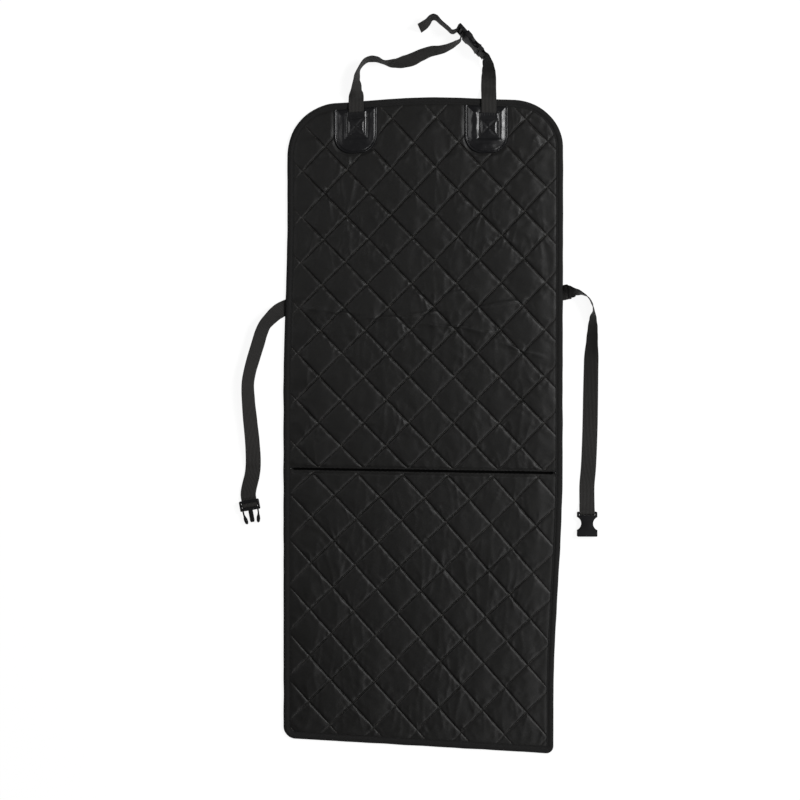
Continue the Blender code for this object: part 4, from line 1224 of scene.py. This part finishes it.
def left_side_strap(plug, material):
    """Left side strap from under the binding, down to the plug and back under itself."""
    root = LEFT_STRAP_ROOT
    stations = []
    for x, y in ((0.0093, 0.0038), (0.0048, 0.0020), (0.0003, 0.0)):
        stations.append(banked(root.x + x, root.y + y, LEFT_STRAP_HEADING, 0.0))
    path = [(-0.0049, -0.0029), (-0.0125, -0.0084), (-0.0244, -0.0204), (-0.0301, -0.0273),
            (-0.0363, -0.0410), (-0.0413, -0.0577), (-0.0486, -0.0815), (-0.0548, -0.1042),
            (-0.0581, -0.1242), (-0.0573, -0.1519), (-0.0543, -0.1862), (-0.0510, -0.2197),
            (-0.0496, -0.2507), (-0.0503, -0.2652)]
    banks = [-8, -24, -36, -40, -37, -35, -36, -40, -40, -35, -27, -22, -12, -3]
    stations += path_stations(root, path, banks)
    doubled = []
    for x, y, slant in ((-0.0519, -0.2767, 12), (-0.0545, -0.2872, 13), (-0.0569, -0.2972, 9),
                        (-0.0581, -0.3072, 2)):
        doubled.append(banked(root.x + x, root.y + y, slant - 90.0, 0.0))
    for point, across in doubled:
        stations.append((point + Vector((0.0, 0.0, LAYER_PITCH + 0.0002)), across))
    over = [(0.0014, -0.0040), (0.0034, -0.0032), (0.0043, -0.0014),
            (0.0045, 0.0006), (0.0056, 0.0023), (0.0082, 0.0028), (0.0108, 0.0023),
            (0.0119, 0.0008), (0.0121, -0.0012), (0.0116, -0.0030), (0.0096, -0.0046),
            (0.0054, -0.0060), (0.0005, -0.0064)]
    stations += [placed(plug.at(x, 0.0, z), plug.across) for x, z in over]
    stations += reversed(doubled)
    return webbing("left_side_strap", stations, material)


def right_side_strap(socket, material):
    """Right side strap from under the binding, down to the socket and sewn round its bar."""
    root = RIGHT_STRAP_ROOT
    stations = [banked(root.x + x, root.y, 0.0, 0.0) for x in (-0.0103, -0.0033, 0.0015)]
    path = [(0.0072, 0.0013), (0.0123, 0.0013), (0.0231, 0.0003), (0.0335, -0.0030),
            (0.0420, -0.0089), (0.0474, -0.0185), (0.0499, -0.0284), (0.0490, -0.0424),
            (0.0486, -0.0581), (0.0477, -0.0779), (0.0466, -0.1158), (0.0456, -0.1835),
            (0.0450, -0.2264), (0.0426, -0.2858), (0.0402, -0.3165)]
    banks = [16, 43, 71, 88, 99, 101, 92, 69, 56, 47, 23, 14, 4, 6, 0]
    stations += path_stations(root, path, banks)
    stations += socket_loop(socket, socket.across)
    return webbing("right_side_strap", stations, material)


class Nodes:
    """A shader node tree with a short way to add nodes to it."""

    def __init__(self, owner, clear=True):
        owner.use_nodes = True
        self.tree = owner.node_tree
        if clear:
            self.tree.nodes.clear()

    def put(self, value, socket):
        if isinstance(value, bpy.types.NodeSocket):
            self.tree.links.new(value, socket)
        else:
            socket.default_value = value

    def add(self, kind, *values, **named):
        """A node whose inputs are set or linked, in their order and by name."""
        node = self.tree.nodes.new("ShaderNode" + kind)
        for value, socket in zip(values, node.inputs):
            self.put(value, socket)
        for label, value in named.items():
            self.put(value, node.inputs[label])
        return node

    def maths(self, operation, *values):
        node = self.add("Math", *values)
        node.operation = operation
        return node.outputs[0]


class Shader(Nodes):
    """A Principled material and the few node shapes that are used on it."""

    def __init__(self, name, roughness, specular):
        self.material = bpy.data.materials.new(name)
        super().__init__(self.material, clear=False)
        self.bsdf = self.tree.nodes["Principled BSDF"]
        self.bsdf.inputs["Roughness"].default_value = roughness
        self.bsdf.inputs["Specular IOR Level"].default_value = specular
        self.space = self.add("TexCoord").outputs

    def axes(self, coordinate="Object"):
        node = self.add("SeparateXYZ", self.space[coordinate])
        return node.outputs[0], node.outputs[1]

    def clouds(self, size, detail=3.0):
        place = self.space["Object"]
        return self.add("TexNoise", Vector=place, Scale=1.0 / size, Detail=detail).outputs["Fac"]

    def grains(self, size):
        node = self.add("TexVoronoi", Vector=self.space["Object"], Scale=1.0 / size)
        node.feature = "SMOOTH_F1"
        return node.outputs["Distance"]

    def wave(self, value, pitch, phase=0.0):
        turned = self.maths("MULTIPLY_ADD", value, math.tau / pitch, phase)
        return self.maths("SINE", turned)

    def between(self, share, low, high):
        return self.maths("MULTIPLY_ADD", share, high - low, low)

    def colour(self, share, low, high):
        node = self.add("Mix", share)
        node.data_type = "RGBA"
        node.inputs[6].default_value = (*low, 1.0)
        node.inputs[7].default_value = (*high, 1.0)
        self.put(node.outputs[2], self.bsdf.inputs["Base Color"])

    def bump(self, height, distance, strength=1.0, onto=None):
        node = self.add("Bump", Strength=strength, Distance=distance, Height=height)
        if onto:
            self.put(onto, node.inputs["Normal"])
        self.put(node.outputs[0], self.bsdf.inputs["Normal"])
        return node.outputs[0]

    def roughness(self, share, low, high):
        self.put(self.between(share, low, high), self.bsdf.inputs["Roughness"])


def quilted_fabric():
    """Close-woven polyester with a soft shine: fine threads and a slow drift of tone."""
    cloth = Shader("quilted_fabric_woven", 0.42, 0.26)
    x, y = cloth.axes()
    weave = cloth.maths("MULTIPLY", cloth.wave(x, 0.0011), cloth.wave(y, 0.0011))
    drift = cloth.clouds(0.070, 4.0)
    thread = cloth.clouds(0.0016, 2.0)
    drifted = cloth.maths("MULTIPLY", drift, 0.55)
    tone = cloth.maths("ADD", drifted, cloth.maths("MULTIPLY", thread, 0.45))
    cloth.colour(tone, (0.0038, 0.0037, 0.0035), (0.0086, 0.0083, 0.0078))
    cloth.roughness(thread, 0.40, 0.50)
    crush = cloth.bump(cloth.clouds(0.014, 4.0), 0.0012, 0.22)
    cloth.bump(cloth.maths("ADD", weave, thread), 0.00006, 0.4, crush)
    return cloth.material


def backing_fabric():
    """Open mesh of the non-slip underside."""
    cloth = Shader("backing_fabric_mesh", 0.85, 0.15)
    x, y = cloth.axes()
    holes = cloth.maths("MULTIPLY", cloth.wave(x, 0.0024), cloth.wave(y, 0.0024))
    cloth.colour(holes, (0.0060, 0.0060, 0.0060), (0.0200, 0.0195, 0.0185))
    cloth.bump(holes, 0.0003, 0.8)
    return cloth.material


def binding_cloth():
    """Close-ribbed edge tape."""
    tape = Shader("binding_tape_ribbed", 0.75, 0.15)
    x, y = tape.axes()
    ribs = tape.maths("MULTIPLY", tape.wave(x, 0.0013), tape.wave(y, 0.0013))
    thread = tape.clouds(0.0020, 3.0)
    tape.colour(thread, (0.0064, 0.0064, 0.0064), (0.0156, 0.0153, 0.0150))
    tape.roughness(thread, 0.60, 0.80)
    tape.bump(tape.maths("ADD", ribs, tape.clouds(0.006, 3.0)), 0.00022, 0.6)
    return tape.material


def tape_cloth():
    """Black tape at the bottom of the seam's groove, painted darker than the other black cloths and
    with almost no shine: painted shade in the groove.
    """
    tape = Shader("seam_tape_painted_shade", 0.85, 0.02)
    x, y = tape.axes()
    weave = tape.maths("MULTIPLY", tape.wave(x, 0.0012), tape.wave(y, 0.0012))
    # Colour far darker than the other black cloths: painted shade at the bottom of the groove, over
    # the tape's own black.
    tape.colour(tape.clouds(0.004), (0.0012, 0.0012, 0.0012), (0.0028, 0.0028, 0.0027))
    tape.bump(weave, 0.0001, 0.6)
    return tape.material


def grained_leather():
    """Black leatherette: small pressed grain under a wet-looking gloss."""
    leather = Shader("leatherette_grained", 0.30, 0.38)
    grain = leather.grains(0.0017)
    tone = leather.clouds(0.020, 4.0)
    leather.colour(tone, (0.0040, 0.0040, 0.0048), (0.0085, 0.0084, 0.0094))
    leather.roughness(leather.clouds(0.006, 4.0), 0.25, 0.36)
    soft = leather.bump(leather.clouds(0.010, 3.0), 0.0012, 0.4)
    leather.bump(grain, 0.00010, 0.12, soft)
    return leather.material


def sewing_thread(name, low, high):
    """Spun thread, dark, with sparse bright spots painted into its colour as glints (painted
    highlight).
    """
    thread = Shader(name, 0.60, 0.2)
    spun = thread.clouds(0.0010, 2.0)
    # Sparse bright spots in the thread's colour: painted glints, a painted highlight, not wear.
    painted_glints = thread.maths("POWER", thread.clouds(0.006, 3.0), 3.0)
    thread.colour(painted_glints, low, high)
    thread.bump(spun, 0.0001, 0.5)
    return thread.material


def ribbed_webbing():
    """Webbing with ribs along it and small picks that alternate from rib to rib; the grooves
    between the ribs are painted darker, which is painted shade.
    """
    web = Shader("strap_webbing_ribbed", 0.70, 0.12)
    across, along = web.axes("UV")
    ribs = web.maths("ABSOLUTE", web.wave(across, 1.0 / 5.5))
    parity = web.maths("MULTIPLY", web.maths("FLOOR", web.maths("MULTIPLY", across, 11.0)), math.pi)
    picks = web.wave(along, 0.0021, parity)
    height = web.maths("MULTIPLY", ribs, web.between(picks, 0.82, 1.0))
    fray = web.clouds(0.0016, 3.0)
    # Colour follows the rib height: the grooves between the ribs are painted dark as painted shade;
    # the fray is the webbing's own uneven tone.
    tone = web.maths("MULTIPLY", height, web.between(fray, 0.6, 1.2))
    web.colour(tone, (0.0080, 0.0078, 0.0075), (0.0390, 0.0374, 0.0357))
    web.roughness(fray, 0.50, 0.72)
    web.bump(height, 0.00045, 0.9)
    return web.material


def moulded_plastic():
    """Satin black acetal with a fine moulded skin and faint rubbing."""
    plastic = Shader("clip_plastic_moulded", 0.52, 0.10)
    wear = plastic.clouds(0.006, 5.0)
    plastic.colour(wear, (0.0050, 0.0050, 0.0056), (0.0120, 0.0120, 0.0128))
    plastic.roughness(wear, 0.44, 0.60)
    plastic.bump(plastic.clouds(0.0012, 3.0), 0.00006, 0.4)
    return plastic.material


def floor_material():
    """Pale floor that the camera sees as white and that still takes the shadow."""
    material = bpy.data.materials.new("pale_floor")
    nodes = Nodes(material)
    path = nodes.add("LightPath").outputs
    seen = path["Is Camera Ray"]
    for label in ("Is Glossy Ray", "Is Transmission Ray"):
        seen = nodes.maths("MAXIMUM", seen, path[label])
    glow = nodes.add("Emission", Strength=nodes.maths("MULTIPLY", seen, FLOOR_GLOW))
    matt = nodes.add("BsdfDiffuse", Color=(FLOOR_SHADE, FLOOR_SHADE, FLOOR_SHADE, 1.0))
    both = nodes.add("AddShader", matt.outputs[0], glow.outputs[0])
    nodes.add("OutputMaterial", both.outputs[0])
    return material


def white_world():
    """White to the camera, and a faint even light to everything else."""
    world = bpy.data.worlds.new("studio_world")
    nodes = Nodes(world)
    skies = []
    for strength in (WORLD_LIGHT, 1.0):
        sky = nodes.add("Background", Color=(1.0, 1.0, 1.0, 1.0), Strength=strength)
        skies.append(sky.outputs[0])
    seen = nodes.add("LightPath").outputs["Is Camera Ray"]
    mix = nodes.add("MixShader", seen, *skies)
    nodes.add("OutputWorld", mix.outputs[0])
    bpy.context.scene.world = world


def area_light(name, place, target, side, power):
    data = bpy.data.lights.new(name, "AREA")
    data.shape = "SQUARE"
    data.size = side
    data.energy = power
    lamp = bpy.data.objects.new(name, data)
    lamp.location = place
    lamp.rotation_euler = (Vector(target) - Vector(place)).to_track_quat("-Z", "Y").to_euler()
    bpy.context.scene.collection.objects.link(lamp)


def studio():
    """Floor, white world, lamps and the camera straight above."""
    signs = ((-1, -1), (1, -1), (1, 1), (-1, 1))
    corners = [(x * FLOOR_HALF, y * FLOOR_HALF, FLOOR_LEVEL) for x, y in signs]
    floor = make_object("floor", corners, [(0, 1, 2, 3)], floor_material())
    if floor.data.polygons[0].normal.z < 0:
        floor.data.flip_normals()
    white_world()
    for lamp in LAMPS:
        area_light(*lamp)
    camera = bpy.data.objects.new("camera", bpy.data.cameras.new("camera"))
    camera.data.sensor_width = CAMERA_SENSOR
    camera.data.lens = CAMERA_LENS
    camera.location = CAMERA_PLACE
    bpy.context.scene.collection.objects.link(camera)
    bpy.context.scene.camera = camera
    bpy.context.scene.view_settings.view_transform = "Standard"


def dress():
    """Make every visible piece, each in place of its solid."""
    fabric = quilted_fabric()
    under = backing_fabric()
    # The bright end of each thread's colours is painted highlight, put on in sparse spots as
    # glints.
    thread = sewing_thread("stitch_thread_spun", (0.012, 0.011, 0.010), (0.30, 0.275, 0.25))
    dark_thread = sewing_thread("stitch_thread_dark", (0.008, 0.008, 0.008), (0.075, 0.072, 0.070))
    leather = grained_leather()
    web = ribbed_webbing()
    plastic = moulded_plastic()
    studio()
    quilted_pad("upper_pad", True, "upper_quilted_panel", fabric)
    quilted_pad("lower_pad", False, "lower_quilted_panel", fabric)
    backing("upper_backing", True, under)
    backing("lower_backing", False, under)
    quilting_thread("upper_quilting_thread", True, thread)
    quilting_thread("lower_quilting_thread", False, thread)
    binding_ring(binding_cloth())
    binding_thread(dark_thread)
    seam = bpy.data.objects["seam_tape"]
    seam.data.materials.clear()
    seam.data.materials.append(tape_cloth())
    for side, centre_u, foot_v, strap_u in (
        ("left", LEFT_PATCH_U, LEFT_PATCH_FOOT_V, LEFT_STRAP_U),
        ("right", RIGHT_PATCH_U, RIGHT_PATCH_FOOT_V, RIGHT_STRAP_U),
    ):
        place = (centre_u, foot_v, strap_u)
        leather_patch(side + "_leather_patch", side + "_strap_patch", *place, leather)
        box_thread(side + "_box_thread", side + "_box_stitch", *place, dark_thread)
    head_plug = Frame(HEAD_CLIP_START, HEAD_CLIP_ANGLE, HEAD_CLIP_ROLL)
    head_socket = head_plug.turned(PLUG_FRAME_LENGTH + GAP + SOCKET_LENGTH)
    left_plug = Frame(LEFT_CLIP_START, LEFT_CLIP_ANGLE, pitch=LEFT_CLIP_PITCH)
    right_socket = Frame(RIGHT_CLIP_START, math.radians(-90.0))
    for name, maker, place, node in (
        ("head_plug", clip_plug, head_plug, "head_clip_plug"),
        ("head_socket", clip_socket, head_socket, "head_clip_socket"),
        ("left_plug", clip_plug, left_plug, "left_side_clip_plug"),
        ("right_socket", clip_socket, right_socket, "right_side_clip_socket"),
    ):
        finish_piece(maker(name, place, plastic), [node])
    head_strap_long(head_plug, web)
    head_strap_short(head_socket, web)
    left_side_strap(left_plug, web)
    right_side_strap(right_socket, web)


dress()
